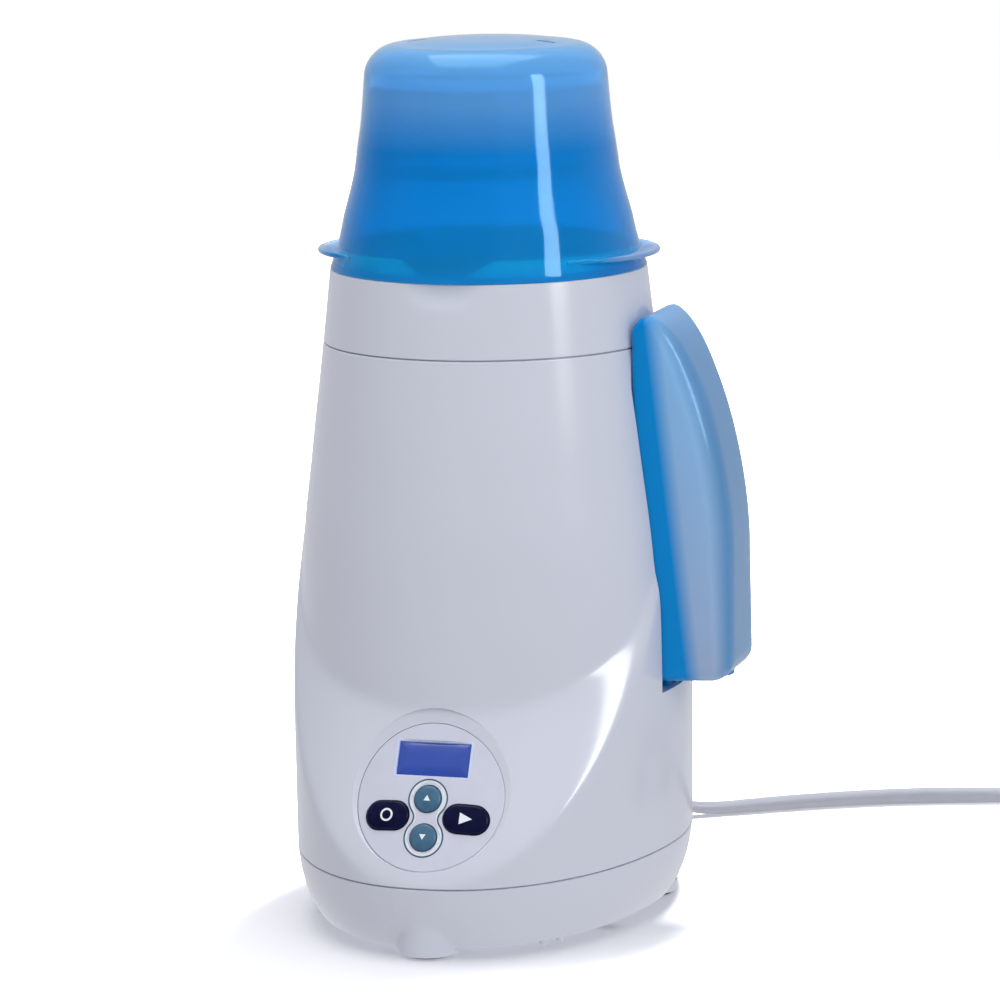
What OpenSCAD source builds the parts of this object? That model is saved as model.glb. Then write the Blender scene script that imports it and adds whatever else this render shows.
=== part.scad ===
// Steam bottle warmer with a lift-off lid, a lift-out bottle basket and a lift-off water tank.
// Millimetres, +Z up. The front, with the control panel, faces -Y and the water tank is at +X.
// Shapes are drawn about the axis of the steam chamber; place() then moves them so that the
// origin lies on the table under the middle of the warmer.

/* [Body] */
// Height of the seam between the base cover and the housing
base_seam_z = 26; // [24:0.5:28]
// Height of the seam between the housing and the top cover
cover_seam_z = 206.5; // [204:0.5:208]
// Height of the step that the lid stands on
lid_seat_z = 233; // [232:0.5:235]
// Half width of the body at the base seam
body_half_w = 69.3; // [68.5:0.1:70]
// Reach of the body in front of the chamber axis
front_reach = 99; // [96:0.5:101]
// Reach of the body behind the chamber axis
rear_reach = 97; // [94:0.5:99]
// Backward lean of the front face from vertical, degrees
front_lean = 27; // [25:0.5:29]
// Forward lean of the rear face from vertical, degrees
rear_lean = 14; // [12:0.5:16]
// Radius of the convex front and rear faces
face_r = 100; // [90:1:120]
// Thickness of the body shells
wall = 2.5; // [2:0.1:3]

/* [Chamber] */
// Inner radius of the steam chamber
chamber_r = 41.5; // [41:0.1:42]
// Height of the underside of the heating plate
plate_z = 58; // [57:0.5:59]
// Outer radius of the bottle basket
basket_r = 39; // [38:0.1:39.5]

/* [Lid] */
// Height of the top of the closed lid
lid_top_z = 315; // [312:0.5:320]
// Thickness of the lid
lid_wall = 1.6; // [1.2:0.1:2]
// Reach of the lid's grip ears from the axis
ear_reach = 62.5; // [61:0.1:62.7]

/* [Water tank] */
// Width of the tank from front to back
tank_w = 40; // [38:0.5:40]
// Outer face of the tank, from the chamber axis
tank_out = 93; // [90:0.5:96]
// Height of the tank's underside
tank_z = 87; // [86.5:0.1:87.5]
// Height of the tank's top
tank_top_z = 218; // [215:0.5:219]
// Thickness of the tank's walls
tank_wall = 1.8; // [1.4:0.1:2]

/* [Control panel] */
// Height of the middle of the round panel
panel_z = 56; // [55:0.5:57]
// Radius of the round panel
panel_r = 28.3; // [28:0.1:28.6]
// How far the panel sits below the front face
panel_recess = 1; // [0.6:0.1:1.4]
// Travel of each key
key_travel = 0.8; // [0.5:0.1:0.8]

/* [Cord] */
// Width of the flat twin mains cord
cord_d = 7.2; // [6.4:0.1:7.6]
// Middle radius of the coil that the spare cord is wound into
coil_r = 39; // [38:0.5:41]

/* [Hidden] */
$fn = 64;
screw_r = 1.48;       // self-tapping screws through the shells and clamps
pilot_r = 1.5;        // their holes
small_screw_r = 1.23; // circuit board screws
small_pilot_r = 1.25;
skin_steps = 60;      // points round each body section
fit_gap = 0.3;        // running gap round keys and the cap

// Radius of the round body against height, before the leaning faces widen it
body_profile = [
    [base_seam_z, body_half_w], [60, body_half_w + 0.3], [90, body_half_w + 0.5],
    [110, body_half_w + 0.3], [130, body_half_w - 0.5], [169, body_half_w - 4.7],
    [cover_seam_z, body_half_w - 9.3], [lid_seat_z, body_half_w - 12.3]
];
cover_r = body_half_w - 9.3;   // body radius at the cover seam
seam_flare = 0.26;             // outward slope of the rear wings below the cover seam
lid_r = body_half_w - 12.3;    // body radius at the lid's seat
// How far the base cover tucks in against height
tuck_profile = [[3, 7.5], [7, 5], [13, 2.5], [20, 0.8], [base_seam_z, 0]];
housing_levels = [base_seam_z, 45, 65, 85, 105, 120, 130, 138, 150, 169, 188, cover_seam_z];

liner_r = chamber_r + 1.8;
deck_z = lid_seat_z - 3;       // top of the ledge that the chamber liner hangs on
plate_top_z = plate_z + 6;
clamp_z = plate_z - 4;
clamp_bolt_r = 48;
clamp_angles = [60, 180, 300];

tank_in = 58.2;                // inner face of the tank
pocket_x = 57.8;               // back wall of the pocket that holds it
pocket_half_w = tank_w / 2 + 0.5;
ledge_z = 83;                  // shelf at the foot of the pocket
tank_lift_angle = 11;          // the tank lifts up and outwards
neck_x = 62.4;
neck_r = 3.4;
neck_bore_r = 2.1;
valve_seat_r = 1.5;
neck_z = 77;
seat_z = 71;
hose_bend = 6;
hose_r = 3.3;
hose_bore_r = 2.05;
hose_z = plate_z + 4;          // centre of the hose's level run into the heating plate
cap_x = 80;
cap_r = 9.7;
plug_r = 8;

key_r = 4.85;                  // round keys
pill_w = 16.3;                 // long keys
pill_h = 10.5;
pill_x = 14.4;
pill_v = -7;
up_v = -0.6;
down_v = -14.5;
window_w = 27.4;
window_h = 13.2;
window_v = 14;
key_proud = 1;                 // how far the keys stand above the panel
board_n = -14.4;               // front of the control board, below the front face
board_post = [21.5, 20.5];

foot_r = 11;
side_foot = [53, 17];
power_posts = [[-38, 15], [31, 15], [-36, 57], [31, 65]];  // screws of the mains board
power_outline = [[-42, 10], [36, 10], [36, 70], [-26, 70], [-42, 62]];
rear_foot_y = 78;
foot_floor_z = 1;
base_screw_angles = [35, 145, 215, 325];

relief_start = [16.7, 93.5, 12];
relief_turn = -19;             // swing of the cord outlet towards the tank side
relief_dip = 4;                // its downward tilt
relief_len = 24;
relief_seat = -5.2;            // where its flange bears on the inside of the base cover
outlet_way = [-sin(relief_turn) * cos(relief_dip), cos(relief_turn) * cos(relief_dip), -sin(relief_dip)];

// Route of the free cord over the table, from the strain relief to the coil
cord_route = [
    relief_start + relief_len * outlet_way, relief_start + (relief_len + 4) * outlet_way,
    [28.2, 124.4, 8.9], [31.8, 128.4, 7.2], [36, 131.9, 5.6], [41, 135.3, 4.4], [47.5, 139.2, 3.7], [56, 144, 3.6], [66, 149.8, 3.6], [78, 156.5, 3.6],
    [92, 163.6, 3.6], [108, 170.6, 3.6], [126, 176.6, 3.6], [146, 182.4, 3.6], [166, 188.4, 3.6],
    [185, 194.6, 3.6], [203, 199.5, 3.6]
];
coil_centre = [213.8, 158.2];
coil_half_w = cord_d + 0.2;
coil_top_z = cord_d * 1.9;
coil_exit_angle = -39.5;       // where the last turn leaves the coil
plug_turn = coil_exit_angle - 90;  // heading of the tail and the plug
tail_route = [
    for (p = [[0, 9.9], [8, 9.75], [16, 9.5], [25, 9.25], [29, 9.2], [33, 9.2]])
        [coil_centre[0] + coil_r * cos(coil_exit_angle) + p[0] * cos(plug_turn),
         coil_centre[1] + coil_r * sin(coil_exit_angle) + p[0] * sin(plug_turn), p[1]]
];

shift = [-(tank_out - body_half_w - 0.5) / 2, (front_reach - rear_reach) / 2, 0];

// ---- geometry rules of the body ----

function body_r(z) = lookup(z, body_profile);

function oval_r(a, b, phi) = 1 / sqrt(pow(cos(phi) / a, 2) + pow(sin(phi) / b, 2));

// Distance from the chamber axis to a convex face that leans back, t below its surface
function leaning_r(phi, z, t, reach, lean) =
    let (yc = (z - base_seam_z) * tan(lean) - reach + face_r / cos(lean),
         k = pow(cos(lean), 2),
         a = pow(cos(phi), 2) + pow(sin(phi), 2) * k,
         b = -2 * sin(phi) * yc * k,
         c = yc * yc * k - pow(face_r - t, 2))
    (sqrt(b * b - 4 * a * c) - b) / (2 * a);

// Body surface, t below the outside. Its wings run out into the round body at the cover's seam.
function skin_r(phi, z, t = 0) =
    let (r = body_r(z) - t, reach = (sin(phi) < 0 ? front_reach : rear_reach) - t)
    max(r, min(oval_r(r, reach, phi),
               cover_r - t + (cover_seam_z - z) * seam_flare,
               leaning_r(phi, z, t, front_reach, front_lean),
               leaning_r(-phi, z, t, rear_reach, rear_lean)));

function ring(z, t, level = undef) =
    [for (i = [0 : skin_steps - 1])
        let (phi = i * 360 / skin_steps, r = skin_r(phi, is_undef(level) ? z : level, t))
        [r * cos(phi), r * sin(phi), z]];

function tucked_ring(z, t) = ring(z, t + lookup(z, tuck_profile), base_seam_z);

function mean(points) = [for (k = [0 : 2]) [for (p = points) p[k]] * [for (p = points) 1] / len(points)];

// A closed skin through a list of rings. Capped, its ends close to their middles;
// uncapped, the last ring joins the first.
module loft(rings, capped) {
    n = len(rings[0]);
    m = len(rings);
    points = concat([for (r = rings) each r], capped ? [mean(rings[0]), mean(rings[m - 1])] : []);
    sides = [for (j = [0 : capped ? m - 2 : m - 1], i = [0 : n - 1])
        let (a = j * n + i, b = j * n + (i + 1) % n,
             c = (j + 1) % m * n + i, d = (j + 1) % m * n + (i + 1) % n)
        each [[a, c, d], [a, d, b]]];
    ends = capped ? [for (i = [0 : n - 1])
        each [[m * n, i, (i + 1) % n], [m * n + 1, (m - 1) * n + (i + 1) % n, (m - 1) * n + i]]] : [];
    polyhedron(points, concat(sides, ends));
}

// A round tube swept along a route that is never vertical
module tube(route, r, sides) {
    last = len(route) - 1;
    loft([for (i = [0 : last])
        let (d = route[min(i + 1, last)] - route[max(i - 1, 0)],
             side = cross(d, [0, 0, 1]) / norm(cross(d, [0, 0, 1])),
             up = cross(side, d) / norm(d))
        [for (k = [0 : sides - 1])
            let (w = 360 * k / sides)
            route[i] + r * (cos(w) * side - sin(w) * up)]], true);
}

module place() {
    translate(shift) children();
}

// Local x is sideways, y up the leaning front face and z out of it
module at_panel() {
    translate([0, (panel_z - base_seam_z) * tan(front_lean) - front_reach, panel_z])
        rotate([90 - front_lean, 0, 0]) children();
}

// Local z points out along the cord
module at_outlet() {
    translate(relief_start) rotate([0, 0, relief_turn]) rotate([-90 - relief_dip, 0, 0]) children();
}

// Solid inside the front face, depth below it, in panel coordinates
module under_face(depth) {
    translate([0, 60, -face_r]) rotate([90, 0, 0]) cylinder(r = face_r - depth, h = 120, $fn = 200);
}

module annulus(r_in, r_out, z0, z1) {
    translate([0, 0, z0]) difference() {
        cylinder(r = r_out, h = z1 - z0);
        translate([0, 0, -1]) cylinder(r = r_in, h = z1 - z0 + 2);
    }
}

module rod(x, y, r, z0, z1) {
    translate([x, y, z0]) cylinder(r = r, h = z1 - z0);
}

module block(x0, x1, y0, y1, z0, z1) {
    translate([x0, y0, z0]) cube([x1 - x0, y1 - y0, z1 - z0]);
}

module around(angles, r) {
    for (a = angles) rotate([0, 0, a]) translate([r, 0, 0]) children();
}

function base_boss_r(phi) = skin_r(phi, base_seam_z, wall) - 10.2;

module at_base_bosses() {
    for (a = base_screw_angles)
        rotate([0, 0, a]) translate([base_boss_r(a), 0, 0]) children();
}

// ---- casing ----

module main_housing() {
    color("gainsboro") place() difference() {
        union() {
            loft(concat([for (z = housing_levels) ring(z, 0)],
                        [for (k = [len(housing_levels) - 1 : -1 : 0])
                            ring(housing_levels[k], wall)]), false);
            intersection() {
                loft([for (z = housing_levels) ring(z, 1)], true);
                union() {
                    // block behind and below the water tank
                    block(pocket_x - 2.3, 75, -pocket_half_w - 2.3, pocket_half_w + 2.3,
                          ledge_z - 9, cover_seam_z - 0.2);
                    // screw bosses on ribs
                    at_base_bosses() {
                        rod(0, 0, 4.5, base_seam_z, base_seam_z + 20);
                        block(0, 12, -1.2, 1.2, base_seam_z + 3, base_seam_z + 20);
                    }
                    // rim under the top cover
                    annulus(cover_r - wall - 4, cover_r - 1.2, cover_seam_z - 3, cover_seam_z - 0.2);
                }
            }
        }
        block(pocket_x, 80, -pocket_half_w, pocket_half_w, ledge_z, cover_seam_z + 1);
        // well that takes the tank's neck as the tank slides in
        hull() for (x = [neck_x, neck_x + 1.4]) rod(x, 0, neck_r + 1, ledge_z - 10, ledge_z + 1);
        at_base_bosses() rod(0, 0, pilot_r, base_seam_z - 1, base_seam_z + 16);
        at_panel() rod(0, 0, panel_r + fit_gap, -14, 6);
        // seat for the panel's flange and posts
        at_panel() intersection() {
            rod(0, 0, panel_r + 4.4, -14, 6);
            under_face(wall + 0.4);
        }
    }
}

module top_cover() {
    color("gainsboro") place() difference() {
        union() {
            rotate_extrude() polygon([
                [cover_r, cover_seam_z], [lid_r, lid_seat_z], [lid_r - 2.4, lid_seat_z],
                [lid_r - 4.6, lid_seat_z + 8], [lid_r - 6.6, lid_seat_z + 8],
                [lid_r - 4.8, lid_seat_z - 1], [lid_r - 4.8, deck_z],
                [liner_r + 0.9, deck_z], [liner_r + 0.9, deck_z - wall],
                [lid_r - 1.9, deck_z - wall], [cover_r - wall, cover_seam_z]]);
            // thicker wall behind the top of the water tank
            intersection() {
                rod(0, 0, lid_r, cover_seam_z, deck_z - 1);
                block(pocket_x - 3, 70, -pocket_half_w - 2, pocket_half_w + 2,
                      cover_seam_z, deck_z - 1);
            }
        }
        block(pocket_x, 80, -pocket_half_w, pocket_half_w, cover_seam_z - 1, lid_seat_z - 5);
        // pouring notch in the front of the rim
        translate([0, -30, lid_seat_z + 23.5]) rotate([90, 0, 0]) cylinder(r = 22, h = 40);
        // finger hollow under the lid's front edge
        translate([-20, -lid_r - 14.6, lid_seat_z]) rotate([0, 90, 0]) cylinder(r = 16, h = 40);
    }
}

module base_cover() {
    color("gainsboro") place() difference() {
        union() {
            loft(concat([for (z = [3, 5, 8, 13, 20, base_seam_z]) tucked_ring(z, 0)],
                        [for (z = [base_seam_z, 20, 13, 8, 5.5]) tucked_ring(z, wall)]), true);
            translate([0, -front_reach + 13, foot_floor_z])
                cylinder(r1 = foot_r + 0.4, r2 = foot_r - 2.2, h = 13);
            rod(0, rear_foot_y, foot_r, foot_floor_z, 5);
            for (side = [-1, 1])
                rod(side * side_foot[0], side_foot[1], foot_r - 1, foot_floor_z, 9);
            for (p = power_posts) rod(p[0], p[1], 3, 5, 14);
            at_base_bosses() rod(0, 0, 5, 5, base_seam_z - 0.2);
        }
        at_base_bosses() {
            rod(0, 0, pilot_r + 0.2, 2, base_seam_z + 1);
            rod(0, 0, 3.4, 2, 8);
        }
        for (p = foot_places()) rod(p[0], p[1], foot_r - 3, 0, 2.2);
        for (p = power_posts) rod(p[0], p[1], small_pilot_r, 7, 15);
        // cooling slots
        for (x = [-30 : 10 : 30]) block(x - 1.5, x + 1.5, -52, -22, 2, 7);
        at_outlet() {
            rod(0, 0, 6.6, -10, 10);
            rod(0, 0, 8.7, -11, relief_seat);
        }
    }
}

function foot_places() = [
    [0, -front_reach + 13], [0, rear_foot_y], side_foot, [-side_foot[0], side_foot[1]]];

module rubber_feet() {
    color("dimgray") place() for (p = foot_places()) rod(p[0], p[1], foot_r - 3.2, 0, 2.2);
}

module base_screws() {
    color("silver") place() at_base_bosses() {
        rod(0, 0, screw_r, 8, base_seam_z + 14);
        difference() {
            rod(0, 0, 3, 5.8, 8);
            block(-0.5, 0.5, -2, 2, 5, 6.8);
            block(-2, 2, -0.5, 0.5, 5, 6.8);
        }
    }
}

// ---- steam chamber ----

module chamber_liner() {
    color("silver") place() difference() {
        union() {
            rotate_extrude() polygon([
                [liner_r, plate_top_z + 2], [liner_r, deck_z], [liner_r + 6.5, deck_z],
                [liner_r + 6.5, deck_z + 1.6], [chamber_r, deck_z + 1.6],
                [chamber_r, plate_top_z + 4], [34, plate_top_z + 4], [34, plate_top_z + 2]]);
            // ears that the clamp ring screws into
            around(clamp_angles, clamp_bolt_r) {
                rod(0, 0, 4, plate_z, plate_z + 13);
                block(liner_r - 0.6 - clamp_bolt_r, 0, -4, 4, plate_z, plate_z + 13);
            }
        }
        around(clamp_angles, clamp_bolt_r) rod(0, 0, pilot_r, plate_z - 1, plate_z + 11);
    }
}

module plate_gasket() {
    color("darkred") place() annulus(34.5, 42, plate_top_z, plate_top_z + 2);
}

module heating_plate() {
    color("lightgray") place() difference() {
        union() {
            rod(0, 0, 42, plate_z, plate_top_z);
            translate([40, 0, hose_z]) rotate([0, 90, 0]) cylinder(r = 1.9, h = 10);
        }
        rod(0, 0, 33, plate_z + 3.4, plate_top_z + 1);
        translate([30, 0, hose_z]) rotate([0, 90, 0]) cylinder(r = 1, h = 21);
    }
}

module heater_ring() {
    color("dimgray") place() {
        rotate([0, 0, 20]) rotate_extrude(angle = 320) translate([21, clamp_z - 2]) square([6, 6]);
        for (a = [26, 334]) rotate([0, 0, a]) rod(24, 0, 1.6, clamp_z - 9, clamp_z - 1.8);
    }
}

module clamp_ring() {
    color("darkgray") place() difference() {
        annulus(35, 52, clamp_z, plate_z);
        around(clamp_angles, clamp_bolt_r) rod(0, 0, pilot_r, clamp_z - 1, plate_z + 1);
    }
}

module clamp_screws() {
    color("silver") place() around(clamp_angles, clamp_bolt_r) {
        rod(0, 0, screw_r, clamp_z - 0.1, plate_z + 9);
        difference() {
            rod(0, 0, 3, clamp_z - 2.2, clamp_z);
            block(-2.2, 2.2, -0.4, 0.4, clamp_z - 3, clamp_z - 1.2);
        }
    }
}

module thermostat() {
    color("tan") place() {
        rod(0, 0, 8, plate_z - 7, plate_z);
        annulus(8, 10.5, plate_z - 1, plate_z);
        for (side = [-1, 1]) block(side * 5 - 0.4, side * 5 + 0.4, -3, 3, plate_z - 16, plate_z - 7);
    }
}

module thermal_fuse() {
    color("khaki") place() translate([0, -31.2, plate_z - 2]) rotate([0, 90, 0]) {
        rod(0, 0, 1.9, -6, 6);
        rod(0, 0, 0.5, -10, 10);
    }
}

module temperature_sensor() {
    color("goldenrod") place() rotate([0, 0, 90]) {
        rod(31.2, 0, 3.2, plate_z - 6, plate_z);
        rod(31.2, 0, 1.2, plate_z - 12, plate_z - 6);
    }
}

// ---- water feed ----

module reservoir_seat() {
    color("lightblue") place() difference() {
        union() {
            intersection() {
                rod(neck_x, 0, 6.6, seat_z, seat_z + 2.5);
                block(50, 66.8, -10, 10, seat_z - 1, seat_z + 4);
            }
            block(neck_x - 3, neck_x + 3, -0.6, 0.6, seat_z + 2.4, neck_z - 2.3);
            rod(neck_x, 0, 2, seat_z - 3.2, seat_z);
        }
        rod(neck_x, 0, 1.2, seat_z - 4, seat_z + 2.4);
        block(neck_x - 1.2, neck_x + 1.2, -2.2, 2.2, seat_z + 2, seat_z + 2.6);
    }
}

module seat_gasket() {
    color("darkred") place() intersection() {
        translate([neck_x, 0, 0]) annulus(4.8, 6.4, seat_z + 2.5, seat_z + 3);
        block(50, 66.7, -10, 10, seat_z, seat_z + 4);
    }
}

// Section of the hose: turn 0 looks down the seat's outlet, turn 90 along the level run
function hose_ring(turn, r, move) =
    let (out = [cos(turn), 0, -sin(turn)], c = [neck_x - hose_bend, 0, hose_z + hose_bend] + move)
    [for (k = [0 : 15]) let (w = k * 22.5) c + hose_bend * out + r * (cos(w) * out + sin(w) * [0, 1, 0])];

function hose_rings(r) = concat(
    [hose_ring(0, r, [0, 0, seat_z - hose_z - hose_bend])],
    [for (turn = [0 : 15 : 90]) hose_ring(turn, r, [0, 0, 0])],
    [hose_ring(90, r, [45 - neck_x + hose_bend, 0, 0])]);

module inlet_hose() {
    inner = hose_rings(hose_bore_r);
    color("white", 0.8) place()
        loft(concat(hose_rings(hose_r), [for (k = [len(inner) - 1 : -1 : 0]) inner[k]]), false);
}

// ---- control panel ----

module pill(w, h, z0, z1) {
    for (side = [-1, 1]) rod(side * (w - h) / 2, 0, h / 2, z0, z1);
    block(-(w - h) / 2, (w - h) / 2, -h / 2, h / 2, z0, z1);
}

module key_openings(grow) {
    for (side = [-1, 1]) translate([side * pill_x, pill_v, 0])
        pill(pill_w + 2 * grow, pill_h + 2 * grow, -20, 10);
    for (v = [up_v, down_v]) rod(0, v, key_r + grow, -20, 10);
}

module panel_bezel() {
    color("lavender") place() at_panel() difference() {
        union() {
            intersection() {
                rod(0, 0, panel_r, -12, 2);
                under_face(panel_recess);
            }
            intersection() {
                union() {
                    rod(0, 0, panel_r + 3, -12, 2);
                    for (x = [-1, 1], y = [-1, 1])
                        rod(x * board_post[0], y * board_post[1], 2.4, board_n, 0);
                }
                under_face(wall + 0.5);
            }
        }
        difference() {
            under_face(wall + 1.6);
            for (x = [-1, 1], y = [-1, 1])
                rod(x * board_post[0], y * board_post[1], 2.4, board_n, 0);
        }
        for (x = [-1, 1], y = [-1, 1])
            rod(x * board_post[0], y * board_post[1], small_pilot_r, board_n - 1, -8);
        key_openings(fit_gap);
        translate([-window_w / 2, window_v - window_h / 2, -20]) cube([window_w, window_h, 30]);
    }
}

module lcd_window() {
    color("lightsteelblue", 0.6) place() at_panel() difference() {
        intersection() {
            translate([-window_w / 2 + 0.1, window_v - window_h / 2 + 0.1, -10])
                cube([window_w - 0.2, window_h - 0.2, 20]);
            under_face(panel_recess + 0.2);
        }
        under_face(panel_recess + 1.6);
    }
}

module lcd_module() {
    color("royalblue") place() at_panel() {
        block(-17, 17, window_v - 8, window_v + 9, -9.6, -6.2);
        for (x = [-15 : 5 : 15]) rod(x, window_v + 8, 0.5, board_n, -9.5);
    }
}

module control_board() {
    color("darkgreen") place() at_panel() difference() {
        block(-26, 26, -25, 25, board_n - 1.6, board_n);
        for (x = [-1, 1], y = [-1, 1])
            rod(x * board_post[0], y * board_post[1], small_pilot_r, board_n - 3, board_n + 1);
    }
}

module board_screws() {
    color("silver") place() at_panel() for (x = [-1, 1], y = [-1, 1])
        translate([x * board_post[0], y * board_post[1], 0]) {
            rod(0, 0, small_screw_r, board_n - 1.7, -8.5);
            rod(0, 0, 2.3, board_n - 3.2, board_n - 1.6);
        }
}

module microcontroller() {
    color("dimgray") place() at_panel() {
        block(-5, 5, -12, -2, board_n - 3.4, board_n - 1.8);
        for (side = [-1, 1], v = [-11 : 1.27 : -3])
            block(side * 6 - 1, side * 6 + 1, v - 0.2, v + 0.2, board_n - 2.2, board_n - 1.6);
    }
}

function key_places() = [[-pill_x, pill_v], [pill_x, pill_v], [0, up_v], [0, down_v]];

module tact_switches() {
    color("dimgray") place() at_panel() for (p = key_places()) {
        block(p[0] - 3, p[0] + 3, p[1] - 3, p[1] + 3, board_n, board_n + 3.4);
        rod(p[0], p[1], 1.7, board_n + 3.3, board_n + 4.4);
    }
}

module buzzer() {
    color("dimgray") place() at_panel() difference() {
        rod(15, -13, 6, board_n - 10.6, board_n - 1.6);
        rod(15, -13, 1, board_n - 11, board_n - 8);
    }
}

// A key follows the curve of the panel, with a collar behind it and a stem on its switch
module key(x, v) {
    at_panel() {
        intersection() {
            union() {
                translate([x, v, 0]) children(0);
                difference() {
                    translate([x, v, 0]) children(1);
                    translate([0, 0, -0.01]) difference() {
                        under_face(-20);
                        under_face(wall + 2.4);
                    }
                }
            }
            difference() {
                under_face(panel_recess - key_proud);
                under_face(wall + 4.2);
            }
        }
        rod(x, v, 1.7, board_n + 4.5 + key_travel, -6.4);
    }
}

module long_key(side) {
    key(side * pill_x, pill_v) {
        pill(pill_w, pill_h, -12, 5);
        pill(pill_w + 1.6, pill_h + 1.6, -12, 5);
    }
}

module round_key(v) {
    key(0, v) {
        rod(0, 0, key_r, -12, 5);
        rod(0, 0, key_r + 0.8, -12, 5);
    }
}

module off_button() { color("midnightblue") place() long_key(-1); }
module start_button() { color("midnightblue") place() long_key(1); }
module up_button() { color("cadetblue") place() round_key(up_v); }
module down_button() { color("cadetblue") place() round_key(down_v); }

// ---- mains side ----

module power_board() {
    color("darkgreen") place() difference() {
        translate([0, 0, 14]) linear_extrude(height = 1.6) polygon(power_outline);
        for (p = power_posts) rod(p[0], p[1], small_pilot_r, 13, 17);
    }
}

module power_board_screws() {
    color("silver") place() for (p = power_posts) translate([p[0], p[1], 0]) {
        rod(0, 0, small_screw_r, 8.5, 15.7);
        rod(0, 0, 2.3, 15.6, 17.2);
    }
}

module transformer() {
    color("darkslategray") place() {
        block(-34, -8, 24, 54, 15.6, 22);
        block(-34, -8, 28, 50, 22, 40);
        block(-30, -12, 24, 54, 22, 36);
    }
}

module power_relay() {
    color("royalblue") place() block(2, 17, 44, 63, 15.6, 31);
}

module filter_capacitor() {
    color("gold") place() block(-2, 16, 20, 28, 15.6, 30);
}

module terminal_block() {
    color("seagreen") place() difference() {
        block(22, 32, 42, 62, 15.6, 26);
        for (y = [47, 57]) rod(27, y, 2, 20, 27);
    }
}

module mains_wires() {
    color("sienna") place() {
        tube([[33, 57, 22], [36, 61, 23], [35, 69, 22], [29, 77, 19], [21, 84, 15], [17.3, 87, 13.4]], 1.3, 8);
        tube([[33, 47, 20], [38, 50, 21], [40, 60, 21], [36, 71, 18], [26, 79, 15], [19, 84, 12], [15.8, 86.4, 11]],
             1.3, 8);
    }
}

module strain_relief() {
    color("gainsboro") place() at_outlet() {
        rod(0, 0, 8.4, relief_seat - 2.2, relief_seat - 0.2);
        rod(0, 0, 6.4, relief_seat - 0.2, 4);
        translate([0, 0, 4]) cylinder(r1 = 6.4, r2 = 4.4, h = relief_len - 4);
    }
}

// ---- lid and basket ----

// Outline of the lid from its edge to its top middle, t inside the outside
function lid_outline(t) = concat(
    [for (p = [[0, 0], [8, 2.7], [13, 4], [19, 5.3], [24, 6.7], [29.6, 8.2], [35, 9.4],
               [40.5, 10.2], [46, 11], [51, 11.8], [62, 12.9], [68, 13.4]])
        [lid_r - p[1] - t, lid_seat_z + p[0]]],
    [for (a = [10 : 10 : 90]) let (c = lid_r - 25.4)
        [c + (12 - t) * cos(a), lid_top_z - 13.5 + (12 - t) * sin(a)]],
    [[lid_r * 0.35, lid_top_z - 0.5 - t], [0, lid_top_z - t]]);

module lid_dome() {
    color("dodgerblue", 0.6) place() difference() {
        union() {
            rotate_extrude() polygon(concat(lid_outline(0), [[0, lid_seat_z]]));
            // crescent grips at the sides
            for (side = [-1, 1]) translate([0, 0, lid_seat_z + 5]) linear_extrude(height = 1.8)
                intersection() {
                    translate([side * (ear_reach - 40), 0]) circle(r = 40);
                    translate([side * 50, 0]) square([70, 80], center = true);
                }
        }
        rotate_extrude() polygon(concat([[0, lid_seat_z - 1], [lid_r - lid_wall, lid_seat_z - 1]],
                                        lid_outline(lid_wall)));
        // vent slots
        for (side = [-1, 1]) block(side * 24 - 3.5, side * 24 + 3.5, -6, -4.2, lid_top_z - 6, lid_top_z + 1);
    }
}

module lift_basket() {
    floor_z = plate_top_z + 5;
    rim_z = 212;
    color("white") place() difference() {
        union() {
            rod(0, 0, basket_r, floor_z, rim_z);
            rod(0, 0, basket_r + 1.4, rim_z - 2, rim_z);
            intersection() {
                rod(0, 0, basket_r, rim_z, rim_z + 22);
                for (side = [-1, 1]) translate([0, side * basket_r, rim_z + 11])
                    cube([24, 12, 22], center = true);
            }
        }
        rod(0, 0, basket_r - 1.6, floor_z + 1.8, rim_z + 23);
        // finger holes in the two lifting tabs
        for (side = [-1, 1]) translate([0, side * (basket_r + 5), rim_z + 11]) rotate([90 * side, 0, 0])
            cylinder(r = 6, h = 12);
        // steam slots
        for (a = [0 : 30 : 150]) rotate([0, 0, a + 15])
            block(-basket_r - 5, basket_r + 5, -2.5, 2.5, floor_z + 14, rim_z - 24);
        rod(0, 0, 7, floor_z - 1, floor_z + 3);
        around([0 : 45 : 315], 22) rod(0, 0, 5, floor_z - 1, floor_z + 3);
    }
}

// ---- water tank ----

// Side view of the tank, t inside its outside
function tank_side(t) = let (x0 = tank_in + t, corner = 6 - t, foot = 8 - t)
    concat(
        [[x0, tank_z + t]],
        [for (a = [180 : -15 : 90]) [tank_in + 6 + corner * cos(a), tank_top_z - 6 + corner * sin(a)]],
        [for (a = [85 : -5 : 0])
            [tank_in + 6 + (tank_out - tank_in - 6 - t) * cos(a),
             tank_top_z - 83 + (83 - t) * sin(a)]],
        [for (a = [0 : -15 : -90]) [tank_out - 8 + foot * cos(a), tank_z + 8 + foot * sin(a)]]);

module tank_form(t) {
    corner = 9;
    half = tank_w / 2 - t;
    intersection() {
        translate([0, half, 0]) rotate([90, 0, 0]) linear_extrude(height = 2 * half)
            polygon(tank_side(t));
        translate([0, 0, tank_z - 5]) linear_extrude(height = 150) {
            translate([tank_in - 5, -half]) square([tank_out - corner - tank_in + 5, 2 * half]);
            translate([tank_in - 5, -half + corner - t])
                square([tank_out - t - tank_in + 5, 2 * (half - corner + t)]);
            for (side = [-1, 1]) translate([tank_out - corner, side * (half - corner + t)])
                circle(r = corner - t);
        }
    }
}

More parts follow.
